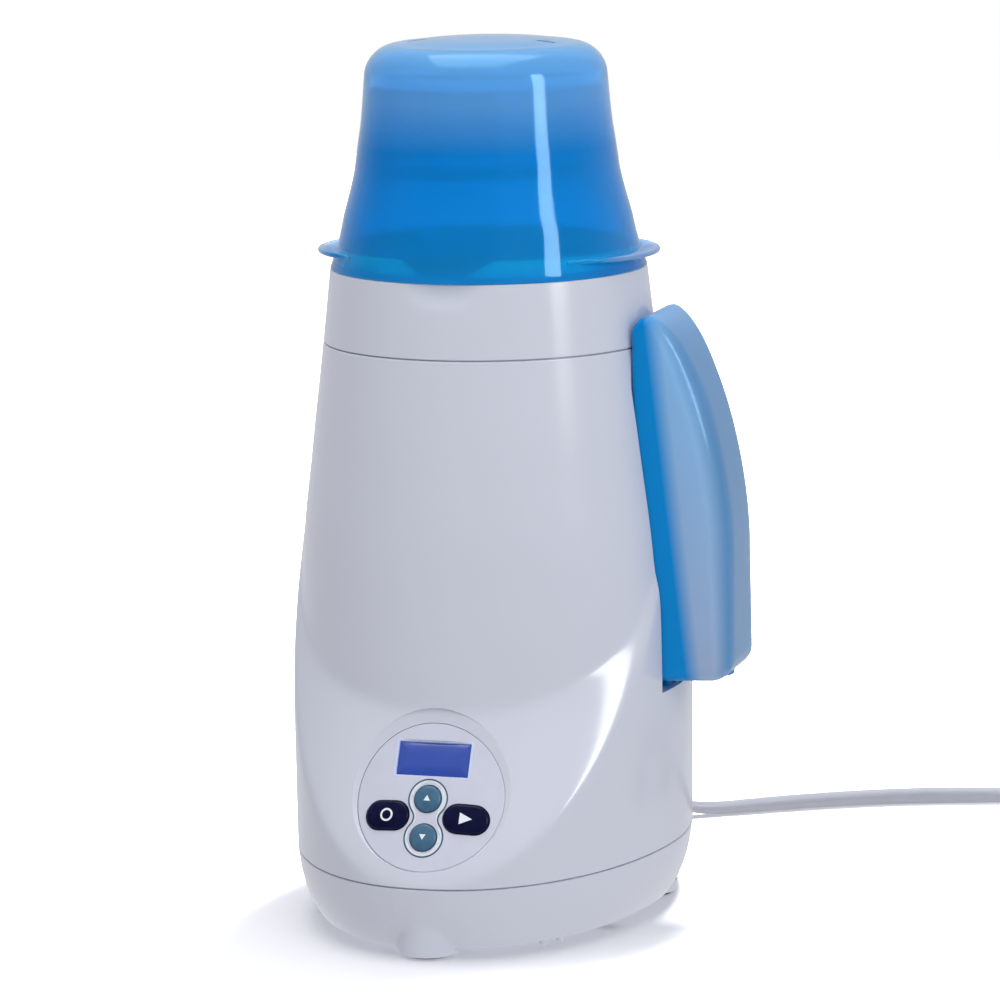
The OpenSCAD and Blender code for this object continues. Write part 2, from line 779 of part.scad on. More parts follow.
module reservoir_tank() {
    color("steelblue", 0.6) place() difference() {
        union() {
            difference() {
                tank_form(0);
                tank_form(tank_wall);
            }
            block(tank_in, neck_x + 5, -8, 8, ledge_z, tank_z + tank_wall);
            rod(neck_x, 0, neck_r, neck_z, ledge_z + 1);
            rod(cap_x, 0, cap_r + 2, tank_z, tank_z + 6);
        }
        rod(neck_x, 0, neck_bore_r, neck_z - 1, tank_z - 0.5);
        rod(neck_x, 0, valve_seat_r, tank_z - 1, tank_z + tank_wall + 1);
        rod(cap_x, 0, plug_r + fit_gap, tank_z - 1, tank_z + 7);
        rod(cap_x, 0, cap_r + fit_gap, tank_z - 1, tank_z + 1.7);
    }
}

module fill_cap() {
    color("steelblue") place() difference() {
        union() {
            rod(cap_x, 0, cap_r, tank_z, tank_z + 1.2);
            rod(cap_x, 0, plug_r, tank_z + 1.2, tank_z + 6);
        }
        block(cap_x - 6.5, cap_x + 6.5, -1, 1, tank_z - 1, tank_z + 1);
    }
}

module fill_cap_gasket() {
    color("darkred") place() translate([cap_x, 0, 0]) annulus(plug_r + 0.1, cap_r - 0.3, tank_z + 1.2, tank_z + 1.6);
}

module neck_seal() {
    color("darkred") place() translate([neck_x, 0, neck_z + 2])
        rotate_extrude() translate([neck_r + 0.36, 0]) circle(r = 0.35);
}

module valve_stem() {
    color("white") place() {
        rod(neck_x, 0, 0.8, neck_z - 2, tank_z + 2.2);
        rod(neck_x, 0, 2.3, tank_z + 2.1, tank_z + 3.4);
    }
}

module valve_spring() {
    turns = 5;
    color("silver") place() translate([neck_x, 0, neck_z + 1])
        tube([for (a = [0 : 30 : 360 * turns]) [1.6 * cos(a), 1.6 * sin(a), a * 8 / 360 / turns]], 0.25, 6);
}

// ---- cord ----

module power_cord() {
    color("gainsboro") place() tube(cord_route, cord_d / 2, 10);
}

module cord_coil() {
    color("gainsboro") place() translate(coil_centre) rotate_extrude() polygon([
        [coil_r - coil_half_w, 0], [coil_r + coil_half_w, 0], [coil_r + coil_half_w, cord_d * 0.8],
        [coil_r + cord_d * 0.6, coil_top_z], [coil_r - cord_d * 0.6, coil_top_z],
        [coil_r - coil_half_w, cord_d * 0.8]]);
}

module cord_tail() {
    color("gainsboro") place() tube(tail_route, cord_d / 2, 10);
}

module cord_tie() {
    w = coil_half_w + 1;
    color("dimgray") place() translate(coil_centre) rotate([0, 0, 200]) translate([coil_r, 0, 0])
        difference() {
            block(-w - 0.6, w + 0.6, -2.5, 2.5, 0, coil_top_z + 1.2);
            block(-w + 0.8, w - 0.8, -3, 3, -1, coil_top_z + 0.02);
        }
}

// Local +x is the way the pins point
module at_plug() {
    translate(tail_route[len(tail_route) - 1]) rotate([0, 0, plug_turn]) children();
}

module power_plug() {
    color("gainsboro") place() at_plug() {
        rotate([0, 90, 0]) cylinder(r1 = 4.3, r2 = 6, h = 14);
        block(14, 34, -12, 12, -9.2, 8);
    }
}

module plug_pins() {
    color("silver") place() at_plug() for (side = [-1, 1])
        block(34, 51, side * 6.35 - 0.8, side * 6.35 + 0.8, -3.7, 2.5);
}

main_housing();
top_cover();
base_cover();
rubber_feet();
base_screws();
chamber_liner();
plate_gasket();
heating_plate();
heater_ring();
clamp_ring();
clamp_screws();
thermostat();
thermal_fuse();
temperature_sensor();
reservoir_seat();
seat_gasket();
inlet_hose();
panel_bezel();
lcd_window();
lcd_module();
control_board();
board_screws();
microcontroller();
tact_switches();
buzzer();
power_board();
power_board_screws();
transformer();
power_relay();
filter_capacitor();
terminal_block();
mains_wires();
strain_relief();
lid_dome();
lift_basket();
reservoir_tank();
fill_cap();
fill_cap_gasket();
neck_seal();
valve_stem();
valve_spring();
off_button();
start_button();
up_button();
down_button();
power_cord();
cord_coil();
cord_tail();
cord_tie();
power_plug();
plug_pins();
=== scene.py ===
import math

import bpy
import numpy as np
from mathutils import Matrix, Vector


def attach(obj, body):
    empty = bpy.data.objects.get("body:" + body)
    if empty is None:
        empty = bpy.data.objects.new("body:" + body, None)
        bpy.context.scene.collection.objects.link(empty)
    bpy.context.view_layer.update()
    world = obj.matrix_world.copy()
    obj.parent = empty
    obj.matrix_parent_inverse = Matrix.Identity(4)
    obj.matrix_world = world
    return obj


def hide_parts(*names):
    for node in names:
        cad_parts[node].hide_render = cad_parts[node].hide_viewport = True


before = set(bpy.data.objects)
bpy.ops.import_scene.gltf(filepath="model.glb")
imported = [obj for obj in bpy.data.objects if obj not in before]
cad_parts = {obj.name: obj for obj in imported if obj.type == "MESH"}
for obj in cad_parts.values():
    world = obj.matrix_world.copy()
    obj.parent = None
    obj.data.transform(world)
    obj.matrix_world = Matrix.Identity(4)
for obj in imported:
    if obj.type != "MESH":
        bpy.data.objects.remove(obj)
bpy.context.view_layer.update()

# Shapes are worked out in millimetres about the axis of the steam chamber, as in part.scad,
# with the front at -Y. SHIFT moves them into the row frame.
MM = 0.001
SHIFT = np.array([-11.6, 1.0, 0.0])


def row(points):
    return (np.asarray(points, float) + SHIFT) * MM


def cosd(a):
    return np.cos(np.radians(a))


def sind(a):
    return np.sin(np.radians(a))


def linked(name, data):
    obj = bpy.data.objects.new(name, data)
    bpy.context.collection.objects.link(obj)
    return obj


# ---- camera ----

VIEW_TURN = 17
EYE_DISTANCE, EYE_HEIGHT = 1800, 460
AIM_RIGHT, AIM_HEIGHT = 2.7, 147
ROLL = -0.9
LENS = 181.44


def make_camera():
    eye = np.array([EYE_DISTANCE * sind(VIEW_TURN), -EYE_DISTANCE * cosd(VIEW_TURN), EYE_HEIGHT])
    aim = np.array([AIM_RIGHT * cosd(VIEW_TURN), AIM_RIGHT * sind(VIEW_TURN), AIM_HEIGHT])
    ahead = (aim - eye) / np.linalg.norm(aim - eye)
    right = np.cross(ahead, [0, 0, 1])
    right /= np.linalg.norm(right)
    up = np.cross(right, ahead)
    rolled_right = right * cosd(ROLL) + up * sind(ROLL)
    rolled_up = -right * sind(ROLL) + up * cosd(ROLL)
    data = bpy.data.cameras.new("camera")
    data.sensor_width, data.lens = 36, LENS
    data.clip_start, data.clip_end = 0.05, 50
    cam = linked("camera", data)
    place = np.eye(4)
    place[:3] = np.column_stack([rolled_right, rolled_up, -ahead, row(eye)])
    cam.matrix_world = Matrix(place.tolist())
    bpy.context.scene.camera = cam


make_camera()


# ---- materials ----

def node(tree, kind, inputs=(), **settings):
    n = tree.nodes.new(kind)
    for key, value in settings.items():
        setattr(n, key, value)
    for key, value in dict(inputs).items():
        if isinstance(value, bpy.types.NodeSocket):
            tree.links.new(value, n.inputs[key])
        else:
            n.inputs[key].default_value = value
    return n


def linear(rgb):
    """Linear colour of an sRGB colour written as 0..255."""
    c = np.array(rgb, float) / 255
    return np.where(c <= 0.04045, c / 12.92, ((c + 0.055) / 1.055) ** 2.4).tolist()


def noise(tree, scale, detail, stretch):
    place = node(tree, "ShaderNodeTexCoord").outputs["Object"]
    spread = node(tree, "ShaderNodeMapping", {"Vector": place, "Scale": stretch}).outputs["Vector"]
    return node(tree, "ShaderNodeTexNoise", {
        "Vector": spread, "Scale": scale, "Detail": detail}).outputs["Fac"]


def remap(tree, value, low, high, start=0.3, end=0.7):
    limits = {"From Min": start, "From Max": end, "To Min": low, "To Max": high}
    return node(tree, "ShaderNodeMapRange", {"Value": value, **limits}).outputs["Result"]


def blend_colours(tree, factor, a, b):
    return node(tree, "ShaderNodeMix", {0: factor, 6: a, 7: b}, data_type="RGBA").outputs[2]


def axis_value(tree, axis, kind="Object"):
    vector = node(tree, "ShaderNodeTexCoord").outputs[kind]
    return node(tree, "ShaderNodeSeparateXYZ", {"Vector": vector}).outputs[axis]


GRAIN_DEPTH = 0.00003


def finish_of(name, rgb, rough, mottle, mottle_scale, grain_scale, grain, stretch=(1, 1, 1), **sockets):
    """A moulded or metal finish: faintly mottled colour, uneven gloss and a fine bumpy skin."""
    mat = bpy.data.materials.new(name)
    mat.use_nodes = True
    tree = mat.node_tree
    shader = tree.nodes["Principled BSDF"]
    for key, value in sockets.items():
        shader.inputs[key.replace("_", " ")].default_value = value
    colour = linear(rgb)
    lighter = tuple(min(1, c * (1 + mottle) + mottle * 0.02) for c in colour) + (1,)
    darker = tuple(c * (1 - mottle) for c in colour) + (1,)
    patches = remap(tree, noise(tree, mottle_scale, 3, stretch), 0, 1)
    tree.links.new(blend_colours(tree, patches, darker, lighter), shader.inputs["Base Color"])
    tree.links.new(remap(tree, noise(tree, mottle_scale * 2.3, 4, stretch), rough[0], rough[1]),
                   shader.inputs["Roughness"])
    bump = node(tree, "ShaderNodeBump", {
        "Strength": grain, "Distance": GRAIN_DEPTH, "Height": noise(tree, grain_scale, 2, stretch)})
    tree.links.new(bump.outputs["Normal"], shader.inputs["Normal"])
    return mat


def shader_of(mat):
    return mat.node_tree.nodes["Principled BSDF"]


casing = finish_of("casing", (209, 212, 223), (0.15, 0.2), 0.01, 18, 260, 0.03,
                   Coat_Weight=0.15, Coat_Roughness=0.1, Specular_IOR_Level=0.4)
panel_white = finish_of("panel white", (206, 208, 222), (0.3, 0.42), 0.02, 160, 1400, 0.25)
rubber = finish_of("rubber", (70, 70, 72), (0.7, 0.9), 0.12, 120, 1500, 0.5)
screw_steel = finish_of("screw steel", (190, 190, 192), (0.22, 0.4), 0.06, 300, 2500, 0.3,
                        Metallic=1.0)
aluminium = finish_of("chamber aluminium", (205, 206, 208), (0.2, 0.36), 0.05, 40, 900, 0.3,
                      stretch=(1, 1, 12), Metallic=1.0)
silicone = finish_of("silicone", (150, 40, 34), (0.5, 0.65), 0.08, 150, 1200, 0.3)
heater_metal = finish_of("heater metal", (120, 118, 116), (0.4, 0.6), 0.15, 180, 900, 0.5,
                         Metallic=0.9)
dark_plastic = finish_of("dark plastic", (40, 42, 46), (0.35, 0.5), 0.12, 200, 1500, 0.3)
ceramic = finish_of("fuse ceramic", (214, 198, 158), (0.4, 0.6), 0.07, 400, 1800, 0.3)
white_plastic = finish_of("white plastic", (226, 229, 232), (0.3, 0.45), 0.02, 80, 900, 0.2,
                          Subsurface_Weight=0.15, Subsurface_Scale=0.003)
clear_hose = finish_of("clear hose", (226, 232, 230), (0.2, 0.35), 0.03, 200, 900, 0.2,
                       Transmission_Weight=0.6, IOR=1.41)
board_green = finish_of("circuit board", (22, 84, 50), (0.25, 0.4), 0.2, 260, 2200, 0.4)
relay_blue = finish_of("relay blue", (40, 90, 180), (0.3, 0.45), 0.06, 200, 1500, 0.2)
capacitor_yellow = finish_of("capacitor yellow", (222, 178, 44), (0.3, 0.45), 0.06, 200, 1500, 0.2)
terminal_green = finish_of("terminal green", (44, 140, 74), (0.35, 0.5), 0.06, 200, 1500, 0.2)
wire_brown = finish_of("wire brown", (112, 66, 40), (0.4, 0.55), 0.08, 300, 1500, 0.2)
display_blue = finish_of("display blue", (46, 70, 172), (0.25, 0.35), 0.08, 90, 2200, 0.2)
key_navy = finish_of("key navy", (5, 8, 50), (0.2, 0.28), 0.15, 250, 1400, 0.1,
                     Specular_IOR_Level=0.12)
key_teal = finish_of("key teal", (60, 102, 132), (0.3, 0.42), 0.12, 300, 1400, 0.3)
symbol_white = finish_of("symbol white", (236, 238, 244), (0.4, 0.5), 0.02, 400, 1600, 0.2)
outline_ink = finish_of("outline ink", (66, 88, 108), (0.4, 0.55), 0.1, 500, 1600, 0.2)
rim_pale = finish_of("rim pale", (206, 216, 244), (0.2, 0.3), 0.02, 400, 1600, 0.1)
plate_white = finish_of("plate white", (224, 230, 240), (0.25, 0.35), 0.02, 400, 1600, 0.1)
screen_blue = finish_of("screen blue", (40, 74, 170), (0.16, 0.22), 0.06, 60, 1800, 0.1,
                        Coat_Weight=0.6)
cord_plastic = finish_of("cord plastic", (184, 186, 196), (0.3, 0.42), 0.03, 120, 1100, 0.25)
tie_plastic = finish_of("tie plastic", (58, 60, 64), (0.5, 0.65), 0.12, 200, 1500, 0.5)
pin_metal = finish_of("pin metal", (196, 186, 160), (0.2, 0.32), 0.06, 300, 1800, 0.3,
                      stretch=(1, 1, 6), Metallic=1.0)


def see_through(mat, weight, tint, density):
    """Lets light through, tinted more the further it goes inside the wall."""
    tree = mat.node_tree
    shader_of(mat).inputs["Transmission Weight"].default_value = weight
    inside = node(tree, "ShaderNodeVolumeAbsorption", {"Color": tint, "Density": density})
    tree.links.new(inside.outputs["Volume"], tree.nodes["Material Output"].inputs["Volume"])
    return mat


def lid_material():
    """Deep blue with painted light making it paler towards the crown, and paler on the two grips."""
    mat = finish_of("lid blue", (30, 130, 200), (0.05, 0.09), 0.03, 30, 500, 0.03, IOR=1.46,
                    Specular_IOR_Level=0.25, Specular_Tint=(0.5, 0.8, 1, 1))
    tree, shader = mat.node_tree, shader_of(mat)
    # painted light: the colour turns paler towards the crown
    painted_height_light = remap(tree, axis_value(tree, "Z"), 0, 1, 0.277, 0.294)
    colour = blend_colours(tree, painted_height_light, (0.0, 0.44, 0.9, 1), (0.24, 0.64, 0.98, 1))
    place = node(tree, "ShaderNodeTexCoord").outputs["Object"]
    level = node(tree, "ShaderNodeVectorMath", {0: place, 1: (1, 1, 0)}, operation="MULTIPLY")
    from_axis = node(tree, "ShaderNodeVectorMath", {0: level.outputs["Vector"], 1: SHIFT * MM},
                     operation="DISTANCE")
    grips = remap(tree, from_axis.outputs["Value"], 0, 1, 0.0575, 0.0605)
    colour = blend_colours(tree, grips, colour, (0.5, 0.74, 0.94, 1))
    tree.links.new(colour, shader.inputs["Base Color"])
    return see_through(mat, 0.65, (0.05, 0.45, 0.8, 1), 110)


TANK_SHADE_STRIP_LEAN = 0.114  # the painted shade strip along the body narrows upwards by this much per unit of height


def tank_material():
    """Painted light and shade on blue: deep along the body (painted shade, the shaded body seen through),
    paler outwards (painted light, the bright backdrop seen through), paler downwards (painted light by
    height) and deeper again on the outer wall (painted shade by facing).
    """
    mat = finish_of("tank blue", (60, 130, 200), (0.14, 0.2), 0.03, 30, 500, 0.03, IOR=1.46,
                    Specular_IOR_Level=0.2, Specular_Tint=(0.5, 0.8, 1, 1))
    tree, shader = mat.node_tree, shader_of(mat)
    x, z = axis_value(tree, "X"), axis_value(tree, "Z")
    # painted shade: the deep strip is the shaded body seen through the tank's walls
    lean = node(tree, "ShaderNodeMath", {0: z, 1: TANK_SHADE_STRIP_LEAN, 2: x}, operation="MULTIPLY_ADD")
    out = remap(tree, lean.outputs[0], 0, 1, 0.0755, 0.0815)
    # painted light: paler where the bright backdrop shows through, greyer low down and bluer high up
    painted_height_light = remap(tree, z, 0, 1, 0.09, 0.2)
    pale = blend_colours(tree, painted_height_light, (0.5, 0.63, 0.84, 1), (0.36, 0.68, 1.0, 1))
    # painted shade: deeper blue where the wall faces outward
    outer = remap(tree, axis_value(tree, "X", "Normal"), 0, 1, 0.25, 0.85)
    pale = blend_colours(tree, outer, pale, (0.16, 0.38, 0.66, 1))
    tree.links.new(blend_colours(tree, out, (0.0, 0.36, 0.86, 1), pale), shader.inputs["Base Color"])
    return see_through(mat, 0.35, (0.1, 0.45, 0.8, 1), 60)


lid_blue = lid_material()
tank_blue = tank_material()

# ---- mesh tools ----

def rings_skin(rings, closed=False):
    """A skin through rings of points. closed joins the last ring to the first, or both ends are filled."""
    count, size = len(rings), len(rings[0])
    index = np.arange(count * size).reshape(count, size)
    low = index if closed else index[:-1]
    high = np.roll(index, -1, 0) if closed else index[1:]
    faces = np.stack([low, np.roll(low, -1, 1), np.roll(high, -1, 1), high], -1).reshape(-1, 4).tolist()
    if not closed:
        faces += [index[0][::-1].tolist(), index[-1].tolist()]
    return np.concatenate([np.asarray(r, float) for r in rings]), faces


def joined(*parts):
    """Several (points, faces) as one."""
    points, faces, base = [], [], 0
    for p, f in parts:
        points.append(np.asarray(p, float))
        faces += [[i + base for i in face] for face in f]
        base += len(p)
    return np.concatenate(points), faces


def outward(shape):
    """The shape with its faces turned so that it holds a positive volume."""
    points, faces = shape
    volume = 0.0
    for size in {len(f) for f in faces}:
        f = np.array([x for x in faces if len(x) == size])
        for i in range(1, size - 1):
            volume += (points[f[:, 0]] * np.cross(points[f[:, i]], points[f[:, i + 1]])).sum()
    return shape if volume > 0 else (points, [f[::-1] for f in faces])


def circle(cx, cy, z, r, steps):
    a = np.arange(steps) * 2 * np.pi / steps
    return np.stack([cx + r * np.cos(a), cy + r * np.sin(a), np.full(steps, z)], -1)


def arc_line(u, v, r, angles):
    return [(u + r * cosd(a), v + r * sind(a)) for a in angles]


def box_line(u, v, w, h, r=0.4, steps=4):
    """A rectangle with rounded corners, w by h about its middle."""
    line = []
    for cu, cv, start in ((u + w / 2 - r, v + h / 2 - r, 0), (u - w / 2 + r, v + h / 2 - r, 90),
                          (u - w / 2 + r, v - h / 2 + r, 180), (u + w / 2 - r, v - h / 2 + r, 270)):
        line += arc_line(cu, cv, r, np.linspace(start, start + 90, steps))
    return line


def disc_line(u, v, r, steps=48):
    return arc_line(u, v, r, np.arange(steps) * 360 / steps)


def turned_solid(profile, steps, centre):
    """A solid of revolution from (radius, height) pairs, closed at both ends."""
    profile = [(0.01, profile[0][1]), *profile, (0.01, profile[-1][1])]
    return outward(rings_skin([circle(*centre, z, r, steps) for r, z in profile]))


def rounded_box(x0, x1, y0, y1, z0, z1, r=None):
    """A box with rounded upright edges, or square ones."""
    ring = box_line((x0 + x1) / 2, (y0 + y1) / 2, x1 - x0, y1 - y0, r or 0.001, 6 if r else 1)
    levels = [np.column_stack([ring, np.full(len(ring), z)]) for z in (z0, z1)]
    return outward(rings_skin(levels))


def to_object(name, shape, material=None):
    points, faces = shape
    mesh = bpy.data.meshes.new(name)
    mesh.from_pydata(row(points).tolist(), [], faces)
    mesh.update()
    obj = linked(name, mesh)
    if material:
        mesh.materials.append(material)
    return obj


def combine(obj, shape, operation):
    """Joins a shape to obj, cuts it out, or keeps what they share."""
    tool = to_object("tool", shape)
    m = obj.modifiers.new("combine", "BOOLEAN")
    m.operation, m.solver, m.object = operation, "EXACT", tool
    mesh = bpy.data.meshes.new_from_object(obj.evaluated_get(bpy.context.evaluated_depsgraph_get()))
    obj.modifiers.clear()
    old = obj.data
    obj.data = mesh
    mesh.name = obj.name
    bpy.data.meshes.remove(old)
    bpy.data.objects.remove(tool)
    return obj


def mesh_shape(obj):
    """The object's points and faces, taken out of the scene."""
    points = np.array([v.co for v in obj.data.vertices]) / MM - SHIFT
    faces = [list(p.vertices) for p in obj.data.polygons]
    bpy.data.objects.remove(obj)
    return points, faces


def shade(obj, angle, surface=None, tolerance=0.15):
    """Smooth shading up to a crease angle. surface(points) gives each point's distance from a known
    surface and that surface's normal there, which replaces the mesh's own where a face lies on it."""
    mesh = obj.data
    mesh.shade_smooth()
    mesh.set_sharp_from_angle(angle=math.radians(angle))
    if surface is None:
        return obj

    def read(items, key, width, kind=np.float32):
        values = np.zeros(len(items) * width, kind)
        items.foreach_get(key, values)
        return values.reshape(-1, width) if width > 1 else values

    corners = read(mesh.corner_normals, "vector", 3)
    vertex = read(mesh.loops, "vertex_index", 1, np.int32)
    totals = read(mesh.polygons, "loop_total", 1, np.int32)
    flat = read(mesh.polygons, "normal", 3)
    face = np.repeat(np.arange(len(totals)), totals)
    gap, exact = surface(read(mesh.vertices, "co", 3) / MM - SHIFT)
    fits = (np.abs(gap) < tolerance)[vertex] & ((exact[vertex] * flat[face]).sum(1) > 0.9)
    whole = np.ones(len(totals), bool)
    np.logical_and.at(whole, face, fits)
    corners[whole[face]] = exact[vertex][whole[face]]
    mesh.normals_split_custom_set(corners.tolist())
    return obj


def round_surface(radius_at):
    """The surface r = radius_at(phi, z) about the chamber axis, for shade()."""
    def surface(points):
        phi, z, step = np.degrees(np.arctan2(points[:, 1], points[:, 0])), points[:, 2], 0.05
        radius = radius_at(phi, z)
        slope_phi = (radius_at(phi + step, z) - radius_at(phi - step, z)) / np.radians(2 * step)
        slope_z = (radius_at(phi, z + step) - radius_at(phi, z - step)) / (2 * step)
        c, s = cosd(phi), sind(phi)
        normal = np.stack([c + slope_phi * s / radius, s - slope_phi * c / radius, -slope_z], -1)
        normal /= np.linalg.norm(normal, axis=1)[:, None]
        return np.hypot(points[:, 0], points[:, 1]) - radius, normal
    return surface


def stands_for(obj, body, slot, *nodes):
    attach(obj, body)
    if nodes:
        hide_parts(*nodes)
    return obj


def cubic(s, span, y0, y1, slope0, slope1):
    """The value at the fraction s of a span, on the cubic with those ends and slopes."""
    return ((1 + 2 * s) * (1 - s) ** 2 * y0 + s * (1 - s) ** 2 * span * slope0
            + s * s * (3 - 2 * s) * y1 + s * s * (s - 1) * span * slope1)


def smooth_curve(points):
    """A smooth function through (x, y) pairs that doesn't overshoot them."""
    x, y = np.array(points, float).T
    h, d = np.diff(x), np.diff(y) / np.diff(x)
    m = np.zeros(len(x))
    m[0], m[-1] = d[0], d[-1]
    for i in range(1, len(x) - 1):
        if d[i - 1] * d[i] > 0:
            w1, w2 = 2 * h[i] + h[i - 1], h[i] + 2 * h[i - 1]
            m[i] = (w1 + w2) / (w1 / d[i - 1] + w2 / d[i])

    def value(at):
        at = np.clip(at, x[0], x[-1])
        i = np.clip(np.searchsorted(x, at, side="right") - 1, 0, len(h) - 1)
        return cubic((at - x[i]) / h[i], h[i], y[i], y[i + 1], m[i], m[i + 1])
    return value


def larger(a, b, soft):
    return (a + b + np.sqrt((a - b) ** 2 + soft * soft)) / 2


def smaller(a, b, soft):
    return (a + b - np.sqrt((a - b) ** 2 + soft * soft)) / 2


# ---- body shape, as in part.scad ----

BASE_Z, COVER_Z, LID_Z = 26.0, 206.5, 233.0
HALF_W, FRONT, REAR = 69.3, 99.0, 97.0
FRONT_LEAN, REAR_LEAN, FACE_R, SEAM_FLARE = 27.0, 14.0, 100.0, 0.26
WALL = 2.5
LID_R = HALF_W - 12.3
body_radius = smooth_curve([
    (BASE_Z, HALF_W), (60, HALF_W + 0.3), (90, HALF_W + 0.5), (110, HALF_W + 0.3), (130, HALF_W - 0.5),
    (169, HALF_W - 4.7), (COVER_Z, HALF_W - 9.3), (LID_Z, LID_R)])
tuck = smooth_curve([(3, 7.5), (7, 5), (13, 2.5), (20, 0.8), (BASE_Z, 0)])
CREASE = 1.4


def leaning_radius(phi, z, t, reach, lean):
    yc = (z - BASE_Z) * math.tan(math.radians(lean)) - reach + FACE_R / cosd(lean)
    k = cosd(lean) ** 2
    a = cosd(phi) ** 2 + sind(phi) ** 2 * k
    b = -2 * sind(phi) * yc * k
    c = yc * yc * k - (FACE_R - t) ** 2
    return (np.sqrt(b * b - 4 * a * c) - b) / (2 * a)


def skin(phi, z, t=0.0):
    """Radius of the body t below its surface, with its creases softened."""
    r = body_radius(z) - t
    reach = np.where(sind(phi) < 0, FRONT, REAR) - t
    oval = 1 / np.sqrt((cosd(phi) / r) ** 2 + (sind(phi) / reach) ** 2)
    flare = smaller(oval, smaller(leaning_radius(phi, z, t, FRONT, FRONT_LEAN),
                                  leaning_radius(-phi, z, t, REAR, REAR_LEAN), CREASE), CREASE)
    flare = smaller(flare, LID_R + 3 - t + (COVER_Z - z) * SEAM_FLARE, CREASE)
    return larger(r, flare, CREASE)


def around_axis(radius, z, steps):
    phi = np.arange(steps) * 360 / steps
    r, z = radius(phi), np.broadcast_to(z(phi) if callable(z) else z, steps)
    return np.stack([r * cosd(phi), r * sind(phi), z], -1)


# Panel coordinates: u sideways, v up the leaning front face and n out of it
PANEL_Z = 56.0
PANEL_AT = np.array([0, (PANEL_Z - BASE_Z) * math.tan(math.radians(FRONT_LEAN)) - FRONT, PANEL_Z])
PANEL_V = np.array([0, sind(FRONT_LEAN), cosd(FRONT_LEAN)])
PANEL_N = np.array([0, -cosd(FRONT_LEAN), sind(FRONT_LEAN)])


def on_panel(points):
    p = np.asarray(points, float)
    return PANEL_AT + p[:, :1] * [1, 0, 0] + p[:, 1:2] * PANEL_V + p[:, 2:] * PANEL_N


def face_n(u, height):
    """Height n of the curved front face, raised by height, u to the side of its middle."""
    return np.sqrt((FACE_R + height) ** 2 - np.asarray(u) ** 2) - FACE_R


POCKET = (57.8, 80, -20.5, 20.5)  # x and y limits of the tank's place in the side of the body
SEAM = [(0.0, 1.3), (0.2, 1.3), (0.2, 0.5), (0.33, 0.15), (0.65, 0.0)]  # (from the seam, depth)
AROUND = 480  # points round the body
# the panel's depth and radius, its hole's radius, and the rise and width of the hole's slope
RECESS, PANEL_R, HOLE_R, LIP_RISE, LIP_WIDTH = 1.0, 26.88, 27.0, 2.3, 2.5


def housing():
    rows = [(BASE_Z + d, t) for d, t in SEAM]
    rows += [(z, 0.0) for z in np.linspace(BASE_Z + 2, COVER_Z - 2, 110)]
    rows += [(COVER_Z - d, t) for d, t in SEAM[::-1]]
    rows += [(z, WALL) for z in np.linspace(COVER_Z, BASE_Z, 12)]
    shape = rings_skin([around_axis(lambda phi: skin(phi, z, t), z, AROUND) for z, t in rows], closed=True)
    obj = to_object("housing_shell", outward(shape), casing)
    inside = to_object("inside", outward(rings_skin(
        [around_axis(lambda phi: skin(phi, z, 1.0), z, 96)
         for z in np.linspace(BASE_Z + 0.3, COVER_Z - 0.3, 14)])))
    combine(inside, rounded_box(55.5, 75, -22.8, 22.8, 74, COVER_Z - 0.4), "INTERSECT")
    combine(obj, mesh_shape(inside), "UNION")
    pocket = rounded_box(*POCKET, 83, COVER_Z + 1, 0.8)
    well = outward(rings_skin([
        np.concatenate([circle(63.8, 0, z, 4.4, 33)[0:9], circle(62.4, 0, z, 4.4, 33)[9:25],
                        circle(63.8, 0, z, 4.4, 33)[25:33]]) for z in (73, 83.2)]))
    # the hole for the panel opens out in a slope that is widest at its top
    slope = [(0.0, -12), (0.0, -RECESS), (0.12, -0.9), (0.35, -0.62), (0.6, -0.34), (0.82, -0.11),
             (0.94, -0.02), (1.0, 0.1), (1.0, 3)]
    hole = [(disc_line(0, 0, 0.01, 180), -12)]
    hole += [(disc_line(0, LIP_RISE * k, HOLE_R + LIP_WIDTH * k, 180), h) for k, h in slope]
    hole.append((disc_line(0, LIP_RISE, 0.01, 180), 3))
    combine(obj, joined(pocket, over_panel(hole)), "DIFFERENCE")
    combine(obj, well, "DIFFERENCE")
    shade(obj, 30, round_surface(skin))
    stands_for(obj, "base", "casing_plastic", "main_housing")


def cover_radius(phi, z):
    """Outside of the top cover, with the shallow hollow under the lid's front edge."""
    ahead = np.maximum(-sind(phi), 0.05)
    hollow = (LID_R + 14.6 - np.sqrt(np.maximum(256 - (z - LID_Z) ** 2, 0.0))) / ahead
    return smaller(body_radius(z) + 0 * phi, hollow, 0.7)


RIM_TOP = LID_Z + 8


def rim_top(phi):
    """Height of the rim inside the lid, with the pouring notch at the front."""
    x = 51.4 * cosd(phi)
    notch = LID_Z + 23.5 - np.sqrt(np.maximum(22 ** 2 - x ** 2, 1.0))
    return smaller(RIM_TOP, np.where((sind(phi) < 0) & (np.abs(x) < 21.9), notch, 300), 0.4)


